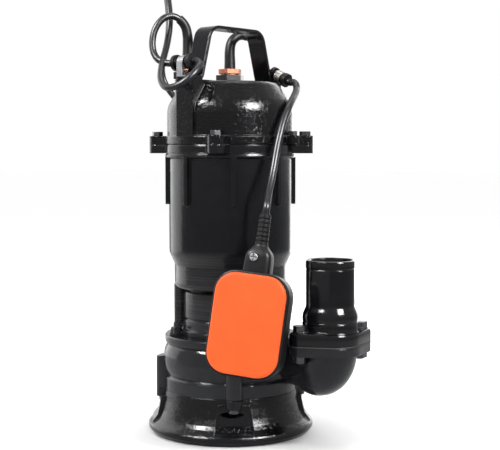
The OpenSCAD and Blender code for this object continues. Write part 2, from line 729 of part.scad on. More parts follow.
// Two-bladed knife that sweeps the serrated inlet.
module cutter() color([0.6, 0.6, 0.62]) {
  r = suction_r - 4.2;
  translate([0, 0, z_volute + 1]) difference() {
    union() {
      cylinder(r = 9, h = z_impeller - z_volute - 1 - 0.1);
      intersection() {
        cylinder(r = r, h = 6);
        for (a = [0, 180]) rotate(a) linear_extrude(6)
          polygon([[0, -6], [30, -4], [30, 6], [10, 9], [0, 8]]);
      }
    }
    translate([0, 0, -1]) cylinder(r = 4.05, h = 30);
  }
}

module impeller_bolt() color([0.55, 0.55, 0.57]) {
  translate([0, 0, z_volute + 1]) mirror([0, 0, 1]) bolt(8, z_impeller - z_volute + 13, 13, 5.5);
}

// ---- motor ----

module stator_core() color([0.35, 0.35, 0.37]) {
  translate([0, 0, z_stator]) difference() {
    cylinder(r = stator_r, h = stator_l, $fn = 96);
    translate([0, 0, -1]) cylinder(r = rotor_r + 0.5, h = stator_l + 2);
    for (i = [0 : 11]) rotate(30 * i + 15) translate([rotor_r - 1, -1.2, -1]) cube([4, 2.4, stator_l + 2]);
  }
}

module stator_windings() color([0.72, 0.35, 0.15]) {
  ro = neck_bore_r - 2;
  ri = rotor_r + 3;
  h = winding_h;
  c = winding_h / 3.5;
  for (z = [z_stator - h, z_stator_top]) translate([0, 0, z]) rotate_extrude($fn = 64)
    polygon([[ri + 2, 0], [ro - 3, 0], [ro, c], [ro, h - c],
      [ro - 3, h], [ri + 2, h], [ri, h - c], [ri, c]]);
}

// Screwed ears around both flanges of the lid joint.
module flange_ears(z, t) {
  for (i = [0 : 3]) rotate(lid_bolt_first + 90 * i) translate([0, 0, z]) {
    translate([lid_bolt_circle, 0, 0]) cylinder(r = ear_r, h = t);
    linear_extrude(t) polygon([[flange_r - 8, -ear_r - 6], [lid_bolt_circle, -ear_r],
      [lid_bolt_circle, ear_r], [flange_r - 8, ear_r + 6]]);
  }
}

module motor_housing() color([0.05, 0.05, 0.06]) {
  h = body_h;
  profile = concat([[0, 0]], arc(neck_r - 6, 6, 6, -90, 0, 5), [[neck_r, neck_h], [neck_r + 1.2, neck_h + 3],
    [body_r - 1.2, neck_h + 10], [body_r - 0.3, neck_h + 13], [body_r, neck_h + 16], [body_r, h - 14.5],
    [flange_r, h - 13], [flange_r + 0.5, h - 11.5], [flange_r, h - 9.8], [flange_r - 0.7, h - 9.2],
    [flange_r, h - 8.6], [flange_r, h - 0.8], [flange_r - 0.8, h], [0, h]]);
  rib_top = h - 12;
  translate([0, 0, z_housing]) difference() {
    union() {
      rotate_extrude($fn = 96) polygon(profile);
      for (i = [0 : rib_n - 1]) rotate(360 * i / rib_n) {
        translate([body_r - 3, -3, rib_top - rib_l + 3]) cube([6.8, 6, rib_l - 3]);
        translate([body_r - 3, 0, rib_top - rib_l + 3]) rotate([0, 90, 0])
          cylinder(r = 3, h = 6.8, $fn = 32);
      }
      flange_ears(h - flange_t, flange_t);
      for (a = CORNERS) rotate(a) translate([leg_circle, 0, lug_h - oil_h]) {
        cylinder(r = leg_r, h = oil_h - lug_h + 4);
      }
    }
    translate([0, 0, housing_floor_t + lower_bearing_h]) cylinder(r = neck_bore_r, h = h, $fn = 96);
    translate([0, 0, neck_h + 13]) cylinder(r = bore_r, h = h, $fn = 96);
    translate([0, 0, housing_floor_t]) cylinder(r = lower_bearing_r + fit_gap, h = lower_bearing_h + 1);
    translate([0, 0, -1]) cylinder(r = 12, h = housing_floor_t + 2);
    for (i = [0 : 3]) rotate(lid_bolt_first + 90 * i) translate([lid_bolt_circle, 0, h - flange_t - 1])
      cylinder(d = lid_bolt_d + 0.1, h = flange_t + 2);
  }
}

module upper_bracket() color([0.12, 0.12, 0.13]) {
  translate([0, 0, z_bracket]) difference() {
    union() {
      cylinder(r = bore_r - fit_gap, h = bracket_t, $fn = 96);
      translate([0, 0, -upper_bearing_h]) cylinder(r = upper_bearing_r + 6, h = upper_bearing_h + 1);
    }
    translate([0, 0, -upper_bearing_h - 1]) cylinder(r = upper_bearing_r + fit_gap, h = upper_bearing_h + 1);
    for (a = [45 : 90 : 315]) rotate(a) translate([38, 0, -1]) cylinder(r = 9, h = bracket_t + 2);
  }
}

module capacitor() color([0.2, 0.2, 0.22]) {
  translate([-0.56 * capacitor_l, 14, z_bracket + bracket_t + capacitor_r]) rotate([0, 90, 0]) {
    cylinder(r = capacitor_r, h = capacitor_l);
    translate([0, 0, capacitor_l - 1]) cylinder(r = capacitor_r - 1.5, h = 3);
    for (m = [-1, 1]) translate([0, 6 * m - 1, capacitor_l + 1]) cube([0.8, 3, 7]);
  }
}

// ---- lid ----

module lid_seal() color([0.1, 0.1, 0.1]) {
  translate([0, 0, z_flange]) rotate_extrude($fn = 96) translate([bore_r + 3, 1.2])
    square([2.4, 2.2], center = true);
}

module top_cover() color([0.05, 0.05, 0.06]) {
  shoulder_z = 23;
  dome = concat([[dome_r, 0]], arc(dome_r - 26, shoulder_z, 26, 0, 38, 7),
    arc(43.5, dome_h - 9.5, 9.5, 38, 90, 5), [[0, dome_h]]);
  inside = concat([[0, -flange_t - 1], [bore_r, -flange_t - 1], [dome_r - lid_wall, 3]],
    arc(dome_r - 26, shoulder_z, 26 - lid_wall, 0, 38, 4),
    [[42, dome_h - lid_wall], [0, dome_h - lid_wall]]);
  difference() {
    union() {
      translate([0, 0, z_flange]) rotate_extrude($fn = 96)
        polygon([[0, 0], [flange_r - 0.8, 0], [flange_r, 0.8],
          [flange_r, flange_t - 1.2], [flange_r - 1.2, flange_t], [0, flange_t]]);
      translate([0, 0, z_dome - 0.5]) rotate_extrude($fn = 96) polygon(concat([[0, 0]], dome));
      flange_ears(z_flange, flange_t);
      rotate(test_plug_angle) {
        translate([test_plug_circle, 0, z_flange]) cylinder(r = 7, h = flange_t);
        translate([test_plug_circle - 12, -7, z_flange]) cube([12, 14, flange_t]);
      }
      for (m = [-1, 1]) translate([-column_w / 2, m > 0 ? 20 : -column_reach, z_dome - 1])
        cube([column_w, column_reach - 20, dome_h + 1]);
      for (m = [-1, 1]) translate([gland_x, m * gland_y, z_top - 28])
        cylinder(r = gland_boss_r, h = 28 + gland_boss_h);
    }
    translate([0, 0, z_dome - 0.5]) rotate_extrude($fn = 96) polygon(inside);
    translate([0, 0, z_flange - 1]) cylinder(r = bore_r, h = flange_t + 3, $fn = 96);
    translate([0, 0, z_flange]) rotate_extrude($fn = 96) translate([bore_r + 3, 1.2])
      square([2.4, 2.4], center = true);
    for (i = [0 : 3]) rotate(lid_bolt_first + 90 * i) translate([lid_bolt_circle, 0, z_flange - 1])
      cylinder(d = lid_bolt_d + 0.6, h = flange_t + 2);
    rotate(test_plug_angle) translate([test_plug_circle, 0, z_flange + 3]) cylinder(d = 5.1, h = flange_t);
    for (m = [-1, 1]) translate([handle_screw_x, m * handle_screw_y, z_top - 12])
      cylinder(d = handle_screw_d + 0.1, h = 14);
    for (m = [-1, 1]) translate([gland_x, m * gland_y, z_top - 30]) cylinder(r = 8.1, h = 34);
  }
}

module lid_bolts() color([0.07, 0.07, 0.08]) {
  for (i = [0 : 3]) rotate(lid_bolt_first + 90 * i) translate([lid_bolt_circle, 0, z_dome]) {
    bolt(lid_bolt_d, 2 * flange_t - 2, bolt_af, bolt_head_h);
  }
}

module test_plug() color([0.07, 0.07, 0.08]) {
  rotate(test_plug_angle) translate([test_plug_circle, 0, z_dome]) bolt(5, 5.5, 8, 4.5);
}

// ---- handle ----

module handle() color([0.05, 0.05, 0.06]) {
  z0 = z_top + strap_t / 2;
  z1 = z_top + handle_h - strap_t / 2;
  half = rounded([[0, z1], [handle_top_y, z1], [handle_bend_y - 1, z0], [handle_foot_y, z0]],
    [handle_corner_r, 5], 7);
  path = concat([for (i = [len(half) - 1 : -1 : 1]) [-half[i][0], half[i][1]]],
    [for (i = [1 : len(half) - 1]) half[i]]);
  outline = concat(shifted(path, strap_t / 2),
    [for (i = [len(path) - 1 : -1 : 0]) shifted(path, -strap_t / 2)[i]]);
  difference() {
    translate([-strap_w / 2, 0, 0]) rotate([90, 0, 90]) linear_extrude(strap_w) polygon(outline);
    for (m = [-1, 1]) translate([handle_screw_x, m * handle_screw_y, z_top - 1])
      cylinder(d = handle_screw_d + 0.6, h = strap_t + 2);
  }
}

module handle_screws() color([0.07, 0.07, 0.08]) {
  for (m = [-1, 1]) translate([handle_screw_x, m * handle_screw_y, z_top + strap_t + clip_band_t])
    bolt(handle_screw_d, strap_t + clip_band_t + 10, 10, 3);
}

// ---- cable glands ----

module at_glands(z) {
  for (m = [-1, 1]) translate([gland_x, m * gland_y, z]) children();
}

module gland_bodies() color([0.07, 0.07, 0.08]) {
  at_glands(z_gland) difference() {
    union() {
      cylinder(r = gland_boss_r - 0.6, h = 1.5);
      translate([0, 0, 1]) hex(gland_af, gland_body_h - 1);
      translate([0, 0, -10]) cylinder(r = 8, h = 11);
    }
    translate([0, 0, -11]) cylinder(r = tether_d / 2 + 0.5, h = 30);
  }
}

module gland_nuts() color([0.72, 0.41, 0.28]) {
  at_glands(z_gland_nut) difference() {
    union() {
      cylinder(r = gland_nut_af / 2 - 1.2, h = gland_nut_h);
      translate([0, 0, 1.5]) hex(gland_nut_af, gland_nut_h - 1.5);
    }
    translate([0, 0, -1]) cylinder(r = tether_d / 2 + 0.5, h = 30);
  }
}

// Tapered rubber boot standing on a gland nut, closed round its cord.
module gland_boot(d) {
  rotate_extrude($fn = 32) polygon([[0, 0], [6.2, 0], [6.4, 3], [d / 2 + 1.6, boot_l - 3],
    [d / 2 + 1, boot_l], [0, boot_l]]);
}

module power_cord_boot() color([0.06, 0.06, 0.06])
  translate([gland_x, -gland_y, z_gland_top]) gland_boot(power_d);
module float_cord_boot() color([0.06, 0.06, 0.06])
  translate([gland_x, gland_y, z_gland_top]) gland_boot(tether_d);

// ---- clips on the handle's feet ----

// Rubber sleeve with a flange at each end, from a to b.
module sleeve(a, b, r, ring_r, d) {
  l = norm(b - a);
  along(a, b) difference() {
    union() {
      cylinder(r = r, h = l);
      cylinder(r = ring_r, h = 3.5);
      translate([0, 0, l - 4]) cylinder(r = ring_r, h = 4);
    }
    translate([0, 0, -1]) cylinder(r = d / 2, h = l + 2);
  }
}

// Metal band round a sleeve, with a leg down to a tab under the handle's screw.
module clip(a, b, r, side) {
  m = (a + b) / 2;
  y = side * handle_screw_y;
  z = z_top + strap_t;
  x0 = min(m[0] - clip_band_w / 2, handle_screw_x - 5);
  x1 = max(m[0] + clip_band_w / 2, handle_screw_x + 5);
  tab_in = handle_screw_y - 4;
  tab_out = abs(m[1]) + r + 1.5 * clip_band_t;
  difference() {
    union() {
      along(m - unit(b - a) * clip_band_w / 2, b) cylinder(r = r + clip_band_t, h = clip_band_w);
      translate([x0, side > 0 ? tab_in : -tab_out, z]) cube([x1 - x0, tab_out - tab_in, clip_band_t]);
      translate([m[0] - clip_band_w / 2, m[1] + side * (r + clip_band_t) - clip_band_t / 2, z])
        cube([clip_band_w, clip_band_t, m[2] - z]);
    }
    along(a - unit(b - a), b) cylinder(r = r, h = norm(b - a) + 2);
    translate([handle_screw_x, y, z - 1]) cylinder(d = handle_screw_d + 0.6, h = 5);
  }
}

module power_clip() color([0.75, 0.76, 0.78]) clip(power_sleeve_a, power_sleeve_b, power_sleeve_r, -1);
module power_clip_sleeve() color([0.08, 0.08, 0.08])
  sleeve(power_sleeve_a, power_sleeve_b, power_sleeve_r - fit_gap, power_ring_r, power_d);
module float_clip() color([0.75, 0.76, 0.78]) clip(tether_sleeve_a, tether_sleeve_b, tether_sleeve_r, 1);
module float_clip_sleeve() color([0.08, 0.08, 0.08])
  sleeve(tether_sleeve_a, tether_sleeve_b, tether_sleeve_r - fit_gap, tether_ring_r, tether_d);

// ---- float switch ----

// Rounded-box outline of the float's face, grown by d.
module float_face(d) {
  w = float_w / 2 + d;
  l = float_l / 2 + d;
  c = float_corner_r + d;
  polygon(concat(arc(w - c, l - c, c, 0, 90, 8), arc(c - w, l - c, c, 90, 180, 8),
    arc(c - w, c - l, c, 180, 270, 8), arc(w - c, c - l, c, 270, 360, 8)));
}

// One shell of the float, from its parting plane outwards along +Z: set back by d, its outer edge
// rounded in four steps to radius e, hollow inside.
module float_shell(d, depth, e) {
  difference() {
    union() {
      linear_extrude(depth - e) float_face(-d);
      for (k = [0 : 3]) translate([0, 0, depth - e + e * sin(22.5 * k) - 0.01])
        linear_extrude(e * (sin(22.5 * k + 22.5) - sin(22.5 * k)) + 0.01)
          float_face(-d - e * (1 - cos(22.5 * k + 22.5)));
    }
    translate([0, 0, -1]) linear_extrude(depth - e + 1) float_face(-d - float_wall);
    translate([0, 0, -1]) linear_extrude(depth - float_wall + 1) float_face(-d - max(e, float_wall));
  }
}

// The orange lid stands a little proud of the rim, and the back shell takes the float's depth.
module float_front_shell() color([1, 0.42, 0.2])
  at_float() translate([0, float_lip_t - float_t / 2, 0]) rotate([90, 0, 0])
    float_shell(float_edge, float_lip_t, 2.2);
module float_back_shell() color([0.06, 0.06, 0.07])
  at_float() translate([0, float_lip_t + float_rim_t - float_t / 2, 0]) rotate([-90, 0, 0])
    float_shell(float_back_set, float_t - float_lip_t - float_rim_t, 11);

module float_rim() color([0.06, 0.06, 0.07])
  at_float() translate([0, float_lip_t - float_t / 2, 0]) rotate([-90, 0, 0]) difference() {
    linear_extrude(float_rim_t) float_face(0);
    translate([0, 0, -1]) linear_extrude(float_rim_t + 2) float_face(-float_edge - float_wall);
  }

module float_cap() color([0.07, 0.07, 0.08]) {
  at_float() translate([0, 0, float_l / 2]) difference() {
    union() {
      translate([0, 0, 0.05]) cylinder(d = float_cap_w, h = 20);
      translate([0, 0, 20]) cylinder(d1 = float_cap_w, d2 = 11, h = float_cap_h - 20);
    }
    translate([-3, -float_cap_w / 2 - 1, 14]) rotate([-90, 0, 0]) cylinder(r = 4, h = 4);
  }
}

module float_screw() color([0.6, 0.6, 0.62])
  at_float() translate([-3, -float_cap_w / 2 + 3, float_l / 2 + 14]) rotate([90, 0, 0]) difference() {
    cylinder(r = 3.7, h = 2.4);
    translate([-0.5, -2.5, 1.6]) cube([1, 5, 2]);
    translate([-2.5, -0.5, 1.6]) cube([5, 1, 2]);
  }

// Ribbed strain relief on top of the cap.
module float_boot() color([0.06, 0.06, 0.06]) {
  at_float() translate([0, 0, float_l / 2 + float_cap_h]) rotate_extrude($fn = 32)
    polygon(concat([[0, 0]], [for (i = [0 : 11]) [5.9 - 0.08 * i - (i % 2) * 0.7, i * float_boot_l / 12]],
      [for (i = [0 : 0]) [4.6, float_boot_l]], [[0, float_boot_l]]));
}

module float_ball() color([0.6, 0.6, 0.62])
  at_float() translate([0, 0, float_back_set + float_wall + seat_gap + ball_r - float_l / 2])
    sphere(ball_r, $fn = 32);

module float_switch() color([0.1, 0.1, 0.1]) {
  at_float() translate([0, 0, float_l / 2 - float_back_set - float_wall - seat_gap - 20]) {
    translate([-10, -4, 0]) cube([20, 8, 12]);
    translate([-3, -3, -6]) cube([6, 6, 7]);
    translate([-4, -6, 11]) cube([8, 12, 9]);
  }
}

// ---- cords ----

coil_pitch = power_d + coil_gap;
turns_per_layer = coil_turns / coil_layers;
coil_out_r = coil_mid_r + turns_per_layer * coil_pitch / 2;
coil_in_r = coil_out_r - turns_per_layer * coil_pitch;

// Height and radius after u turns: in and out again, with a climb in the half turn at each reversal.
function eased(t) = let (c = min(max(t, 0), 1)) c * c * (3 - 2 * c);
function climbs(u, k) = k == coil_layers ? 0
  : eased(2 * (u - k * turns_per_layer) + 0.5) + climbs(u, k + 1);
function coil_radius(u) =
  let (k = min(floor(u / turns_per_layer), coil_layers - 1), w = u - k * turns_per_layer)
  k % 2 == 0 ? coil_out_r - coil_pitch * w : coil_in_r + coil_pitch * w;
function coil_point(u) = let (a = coil_start - 360 * u, r = coil_radius(u))
  [coil_centre[0] + r * cos(a), coil_centre[1] + r * sin(a),
    coil_lift + power_d / 2 + coil_pitch * climbs(u, 1)];
coil_heading = [cos(coil_start - 90), sin(coil_start - 90), 0];
coil_first = coil_point(0) - power_d * coil_heading;
coil_last = coil_point(coil_turns) + power_d * coil_heading;
COIL = concat([coil_first], [for (i = [0 : coil_turns * coil_rings]) coil_point(i / coil_rings)],
  [coil_last]);

module float_cord_fixed() color([0.06, 0.06, 0.06])
  tube(concat(TETHER_FIXED, [tether_sleeve_a, tether_sleeve_b, tether_end - [2, 0, 0], tether_end]),
    tether_d);

float_boot_top = float_point([0, 0, float_l / 2 + float_cap_h + float_boot_l]);
module float_cord_free() color([0.06, 0.06, 0.06])
  tube(concat(TETHER_FREE, [float_boot_top + 8 * unit(float_boot_top - float_point([0, 0, 0])),
    float_boot_top]), tether_d);

module power_cord_lead() color([0.06, 0.06, 0.06])
  tube(concat(POWER_LOOP, [power_sleeve_a, power_sleeve_b], POWER_RISE, POWER_DROP, [coil_first]), power_d);
module power_cord_coil() color([0.06, 0.06, 0.06]) tube(COIL, power_d, 6);
module power_cord_tail() color([0.06, 0.06, 0.06])
  tube(concat([coil_last], POWER_TAIL, [[plug_at[0], plug_at[1] - plug_r - plug_relief_l, plug_cord_z]]),
    power_d);

// Strap round the coil's bundle, on the side away from its ends.
module coil_tie() color([0.15, 0.15, 0.16]) {
  half = (coil_out_r - coil_in_r) / 2 + power_d / 2 + 1.4;
  top = coil_lift + power_d + (coil_layers - 1) * coil_pitch + 0.4;
  translate([coil_centre[0], coil_centre[1], 0]) rotate(coil_start - 90) difference() {
    translate([coil_mid_r - half - 1, -tie_w / 2, 0]) cube([2 * half + 2, tie_w, top + 1]);
    translate([coil_mid_r - half, -tie_w, coil_lift - 0.3])
      cube([2 * half, 2 * tie_w, top - coil_lift + 0.3]);
  }
}

// Angled mains plug lying on its back, with its pins up.
module power_plug() color([0.07, 0.07, 0.07]) {
  translate([plug_at[0], plug_at[1], 0]) difference() {
    union() {
      cylinder(r = plug_r - 1, h = 1);
      translate([0, 0, 0.99]) cylinder(r = plug_r, h = plug_h - 1.99);
      translate([0, 0, plug_h - 1.01]) cylinder(r = plug_r - 1.2, h = 1.01);
      translate([0, -plug_r - plug_relief_l, plug_cord_z]) rotate([-90, 0, 0])
        cylinder(r1 = power_d / 2 + 1, r2 = 7.5, h = plug_relief_l + 4);
    }
    for (m = [-1, 1]) translate([m * (plug_r + 1), 0, -1]) cylinder(r = 3.5, h = plug_h + 2);
  }
}

module plug_pins() color([0.75, 0.76, 0.78]) {
  for (m = [-1, 1]) translate([plug_at[0], plug_at[1] + m * pin_pitch / 2, plug_h]) {
    cylinder(d = 4.8, h = pin_l - 2);
    translate([0, 0, pin_l - 2]) cylinder(d1 = 4.8, d2 = 2.6, h = 2);
  }
}

base_foot();
foot_bolts();
suction_plate();
volute_casing();
discharge_gasket();
hose_connector();
discharge_bolts();
discharge_nuts();
oil_chamber();
chamber_bolts();
oil_plug();
lip_seal();
seal_seat();
seal_head();
lower_bearing_outer();
lower_bearing_balls();
lower_bearing_inner();
upper_bearing_outer();
upper_bearing_balls();
upper_bearing_inner();
shaft();
rotor_core();
impeller();
cutter();
impeller_bolt();
stator_core();
stator_windings();
motor_housing();
upper_bracket();
capacitor();
lid_seal();
top_cover();
lid_bolts();
test_plug();
handle();
handle_screws();
gland_bodies();
gland_nuts();
power_cord_boot();
float_cord_boot();
power_clip();
power_clip_sleeve();
float_clip();
float_clip_sleeve();
float_front_shell();
float_back_shell();
float_rim();
float_cap();
float_boot();
float_screw();
float_ball();
float_switch();
float_cord_fixed();
float_cord_free();
power_cord_lead();
power_cord_coil();
power_cord_tail();
coil_tie();
power_plug();
plug_pins();
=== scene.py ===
"""Looks of the submersible pump: camera, materials, cords, finer pieces, floor and light.

Lengths are in millimetres where MM turns them into metres, and in metres elsewhere.
"""
import math

import bmesh
import bpy
from mathutils import Matrix, Vector


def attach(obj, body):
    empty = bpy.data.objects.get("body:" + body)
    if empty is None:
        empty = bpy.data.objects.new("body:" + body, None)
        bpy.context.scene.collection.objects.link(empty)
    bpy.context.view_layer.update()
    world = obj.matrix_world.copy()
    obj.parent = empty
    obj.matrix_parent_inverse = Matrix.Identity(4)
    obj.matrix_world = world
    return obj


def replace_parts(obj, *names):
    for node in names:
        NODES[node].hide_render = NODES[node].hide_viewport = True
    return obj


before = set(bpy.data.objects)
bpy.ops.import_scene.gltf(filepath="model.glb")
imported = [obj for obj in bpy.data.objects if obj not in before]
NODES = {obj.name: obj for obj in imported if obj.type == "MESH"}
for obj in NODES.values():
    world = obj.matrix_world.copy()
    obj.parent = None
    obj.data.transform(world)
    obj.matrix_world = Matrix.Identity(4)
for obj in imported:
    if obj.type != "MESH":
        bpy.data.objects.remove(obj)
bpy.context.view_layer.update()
MM = 0.001


# ---- camera ----

# Where the camera stands, from the pump's axis and the floor, where it looks, and its lens.
CAMERA_RANGE, CAMERA_BEARING, CAMERA_HEIGHT = 1.1842, -47.539, 0.29063
LOOK_BEARING, LOOK_DOWN = 131.476, math.radians(3.701)
SENSOR_W, LENS = 36, 81.58


def polar(radius, degrees, z):
    a = math.radians(degrees)
    return Vector((radius * math.cos(a), radius * math.sin(a), z))


camera = bpy.data.objects.new("camera", bpy.data.cameras.new("camera"))
bpy.context.collection.objects.link(camera)
camera.data.sensor_width = SENSOR_W
camera.data.lens = LENS
camera.location = polar(CAMERA_RANGE, CAMERA_BEARING, CAMERA_HEIGHT)
look = polar(math.cos(LOOK_DOWN), LOOK_BEARING, -math.sin(LOOK_DOWN))
camera.rotation_euler = look.to_track_quat("-Z", "Y").to_euler()
camera.data.clip_start = 0.01
camera.data.clip_end = 50
bpy.context.scene.camera = camera

# Level directions to the right of the picture and away from the camera.
RIGHT = Vector((0.738, 0.675, 0))
AWAY = Vector((-0.675, 0.738, 0))


def seen(x, depth, z):
    """A point given as the camera sees it: to its right, away from it and up."""
    return RIGHT * x + AWAY * depth + Vector((0, 0, z))


# ---- materials ----

# Fineness of the textures, in features to a metre.
PATCHES, WAVES, DENTS, MOTTLE, SPOTS = 9, 30, 45, 260, 500
SKIN, SCRATCHES, GRIT = 1300, 1400, 1500
# A lathe's rings: fineness round the axis and along it, their colour and how softly they begin.
RING_AROUND, RING_ALONG, RING_GREY, RING_FADE = 10, 1500, (0.03, 0.03, 0.032), 0.001


class Nodes:
    """Builds a material whose texture follows the object's own coordinates."""

    def __init__(self, name):
        self.material = bpy.data.materials.new(name)
        self.material.use_nodes = True
        self.tree = self.material.node_tree
        self.tree.nodes.clear()
        self.out = self.add("ShaderNodeOutputMaterial")
        self.shader = self.add("ShaderNodeBsdfPrincipled")
        self.link(self.shader, "BSDF", self.out, "Surface")
        self.place = self.add("ShaderNodeTexCoord")

    def add(self, kind, **values):
        """A new node with its own settings or its inputs' values."""
        node = self.tree.nodes.new(kind)
        for key, value in values.items():
            if hasattr(node, key):
                setattr(node, key, value)
            else:
                node.inputs[key].default_value = value
        return node

    def link(self, a, out, b, into):
        self.tree.links.new(a.outputs[out], b.inputs[into])

    def set(self, **values):
        """Sets the shader's inputs, named with _ for a space."""
        for key, value in values.items():
            self.shader.inputs[key.replace("_", " ")].default_value = value

    def noise(self, scale, detail=2.0, roughness=0.5):
        n = self.add("ShaderNodeTexNoise")
        n.inputs["Scale"].default_value = scale
        n.inputs["Detail"].default_value = detail
        n.inputs["Roughness"].default_value = roughness
        self.link(self.place, "Object", n, "Vector")
        return n

    def colour(self, source, out, stops):
        """Turns a value into the base colour, each stop a place from 0 to 1 and a colour."""
        r = self.add("ShaderNodeValToRGB")
        self.link(source, out, r, "Fac")
        e = r.color_ramp.elements
        while len(e) < len(stops):
            e.new(0.5)
        for item, (at, colour) in zip(e, stops):
            item.position = at
            item.color = (*colour, 1)
        self.link(r, "Color", self.shader, "Base Color")
        return r

    def span(self, source, out, start, end, low=0.0, high=1.0):
        """Stretches a value's part from start to end over low to high."""
        m = self.add("ShaderNodeMapRange")
        m.inputs["From Min"].default_value = start
        m.inputs["From Max"].default_value = end
        m.inputs["To Min"].default_value = low
        m.inputs["To Max"].default_value = high
        self.link(source, out, m, "Value")
        return m

    def rings(self, paint, height):
        """Mixes fine level rings into the paint below a height."""
        parts = self.add("ShaderNodeSeparateXYZ")
        self.link(self.place, "Object", parts, "Vector")
        below = self.span(parts, "Z", height + RING_FADE, height - RING_FADE)
        squeeze = self.add("ShaderNodeMapping")
        squeeze.inputs["Scale"].default_value = (RING_AROUND, RING_AROUND, RING_ALONG)
        self.link(self.place, "Object", squeeze, "Vector")
        lines = self.add("ShaderNodeTexNoise")
        lines.inputs["Scale"].default_value = 1
        self.link(squeeze, "Vector", lines, "Vector")
        sharp = self.span(lines, "Fac", 0.3, 0.7)
        share = self.add("ShaderNodeMath", operation="MULTIPLY")
        self.link(below, "Result", share, 0)
        self.link(sharp, "Result", share, 1)
        mix = self.add("ShaderNodeMixRGB")
        mix.inputs["Color2"].default_value = (*RING_GREY, 1)
        self.link(share, "Value", mix, "Fac")
        self.link(paint, "Color", mix, "Color1")
        self.link(mix, "Color", self.shader, "Base Color")

    def rough(self, source, out, low, high):
        """Lets the roughness vary from low to high with a noise."""
        self.link(self.span(source, out, 0.3, 0.7, low, high), "Result", self.shader, "Roughness")

    def bumps(self, layers, edge=0.0):
        """Bump layers, each (node, output, distance in metres); edge rounds sharp edges by that radius."""
        last = None
        if edge:
            last = self.add("ShaderNodeBevel", samples=4)
            last.inputs["Radius"].default_value = edge
        for node, out, distance in layers:
            b = self.add("ShaderNodeBump")
            b.inputs["Strength"].default_value = 1.0
            b.inputs["Distance"].default_value = distance
            self.link(node, out, b, "Height")
            if last:
                self.link(last, "Normal", b, "Normal")
            last = b
        self.link(last, "Normal", self.shader, "Normal")


def casting(name, grain, gloss, speck=0.00001, colour=0.005, wave=0.0004, edge=0.0018, fineness=430,
            pits=0.00002, turned=None):
    """Black gloss enamel over cast iron.

    grain, speck, wave and pits are the depths of its texture in metres, and fineness is the grain's.
    Below the height turned the surface shows the fine rings of a lathe.
    """
    n = Nodes(name)
    n.set(Specular_IOR_Level=0.16)
    wide = n.noise(WAVES, 2, 0.5)
    fine = n.noise(fineness, 2, 0.55)
    grit = n.noise(GRIT, 2, 0.6)
    bare = n.noise(PATCHES, 4, 0.6)
    paint = n.colour(bare, "Fac", [(0.35, (colour, colour, colour * 1.15)),
                                   (0.7, (colour * 1.6, colour * 1.65, colour * 2.0))])
    if turned:
        n.rings(paint, turned)
    n.rough(fine, "Fac", gloss, gloss + 0.1)
    raised = n.span(n.noise(SPOTS, 2, 0.6), "Fac", 0.52, 0.72)
    n.bumps([(wide, "Fac", wave), (fine, "Fac", grain), (grit, "Fac", speck), (raised, "Result", pits)], edge)
    return n.material


def metal(name, colour, rough, scratch=0.00006, edge=0.0004, metallic=1.0):
    """Bare or plated metal with faint mottling and scratches."""
    n = Nodes(name)
    n.set(Metallic=metallic)
    mottle = n.noise(MOTTLE, 3, 0.6)
    fine = n.noise(SCRATCHES, 2, 0.6)
    dark = tuple(c * 0.72 for c in colour)
    light = tuple(min(1, c * 1.15) for c in colour)
    n.colour(mottle, "Fac", [(0.3, dark), (0.7, light)])
    n.rough(fine, "Fac", rough, rough + 0.16)
    n.bumps([(fine, "Fac", scratch)], edge)
    return n.material


def moulded(name, colour, rough, grain=0.00005, spread=0.12, specular=0.45, edge=0.0004, wave=0.0002):
    """Moulded plastic or rubber with a slight skin."""
    n = Nodes(name)
    n.set(Specular_IOR_Level=specular)
    wide = n.noise(DENTS, 2)
    fine = n.noise(SKIN, 2, 0.6)
    dark = tuple(c * (1 - spread) for c in colour)
    light = tuple(min(1, c * (1 + spread)) for c in colour)
    n.colour(wide, "Fac", [(0.3, dark), (0.7, light)])
    n.rough(fine, "Fac", rough - 0.05, rough + 0.07)
    n.bumps([(wide, "Fac", wave), (fine, "Fac", grain)], edge)
    return n.material


PAINT = casting("enamel_smooth", 0.00005, 0.06)
PAINT_LOW = casting("enamel_low", 0.00006, 0.08, colour=0.012)
PAINT_TURNED = casting("enamel_turned", 0.00006, 0.08, colour=0.009, turned=0.3)
PAINT_BODY = casting("enamel_body", 0.0001, 0.1, speck=0.00002, edge=0.0025, turned=0.187)
PAINT_COARSE = casting("enamel_coarse", 0.00016, 0.03, speck=0.00003, colour=0.003, wave=0.0005,
                       edge=0.0012, fineness=640, pits=0.000115)
ZINC = metal("black_zinc", (0.06, 0.06, 0.065), 0.25)
COPPER = metal("copper_nut", (0.3, 0.095, 0.045), 0.5, metallic=0.5)
STEEL = metal("steel", (0.6, 0.6, 0.62), 0.22)
SCREW_STEEL = metal("screw_steel", (0.14, 0.14, 0.145), 0.45)
STRIP = metal("zinc_strip", (0.24, 0.23, 0.22), 0.3)
CHROME = metal("chrome", (0.75, 0.76, 0.78), 0.08)
IRON = metal("bare_iron", (0.16, 0.16, 0.17), 0.42, 0.0002)
LAMINATE = metal("laminations", (0.35, 0.35, 0.37), 0.34)
WIRE = metal("winding_wire", (0.7, 0.33, 0.13), 0.3, 0.0003)
ORANGE = moulded("orange_plastic", (0.93, 0.13, 0.03), 0.46, 0.00003, 0.04, 0.06)
BLACK_PLASTIC = moulded("black_plastic", (0.006, 0.006, 0.007), 0.4, specular=0.11)
GLAND_PLASTIC = moulded("gland_plastic", (0.01, 0.01, 0.011), 0.28, specular=0.25)
RUBBER = moulded("rubber", (0.006, 0.006, 0.007), 0.42, 0.00006, specular=0.12)
SHEATH = moulded("cord_sheath", (0.009, 0.009, 0.011), 0.34, 0.00005, specular=0.2)
GASKET = moulded("gasket", (0.02, 0.02, 0.02), 0.6)
CERAMIC = moulded("ceramic", (0.75, 0.74, 0.7), 0.25)
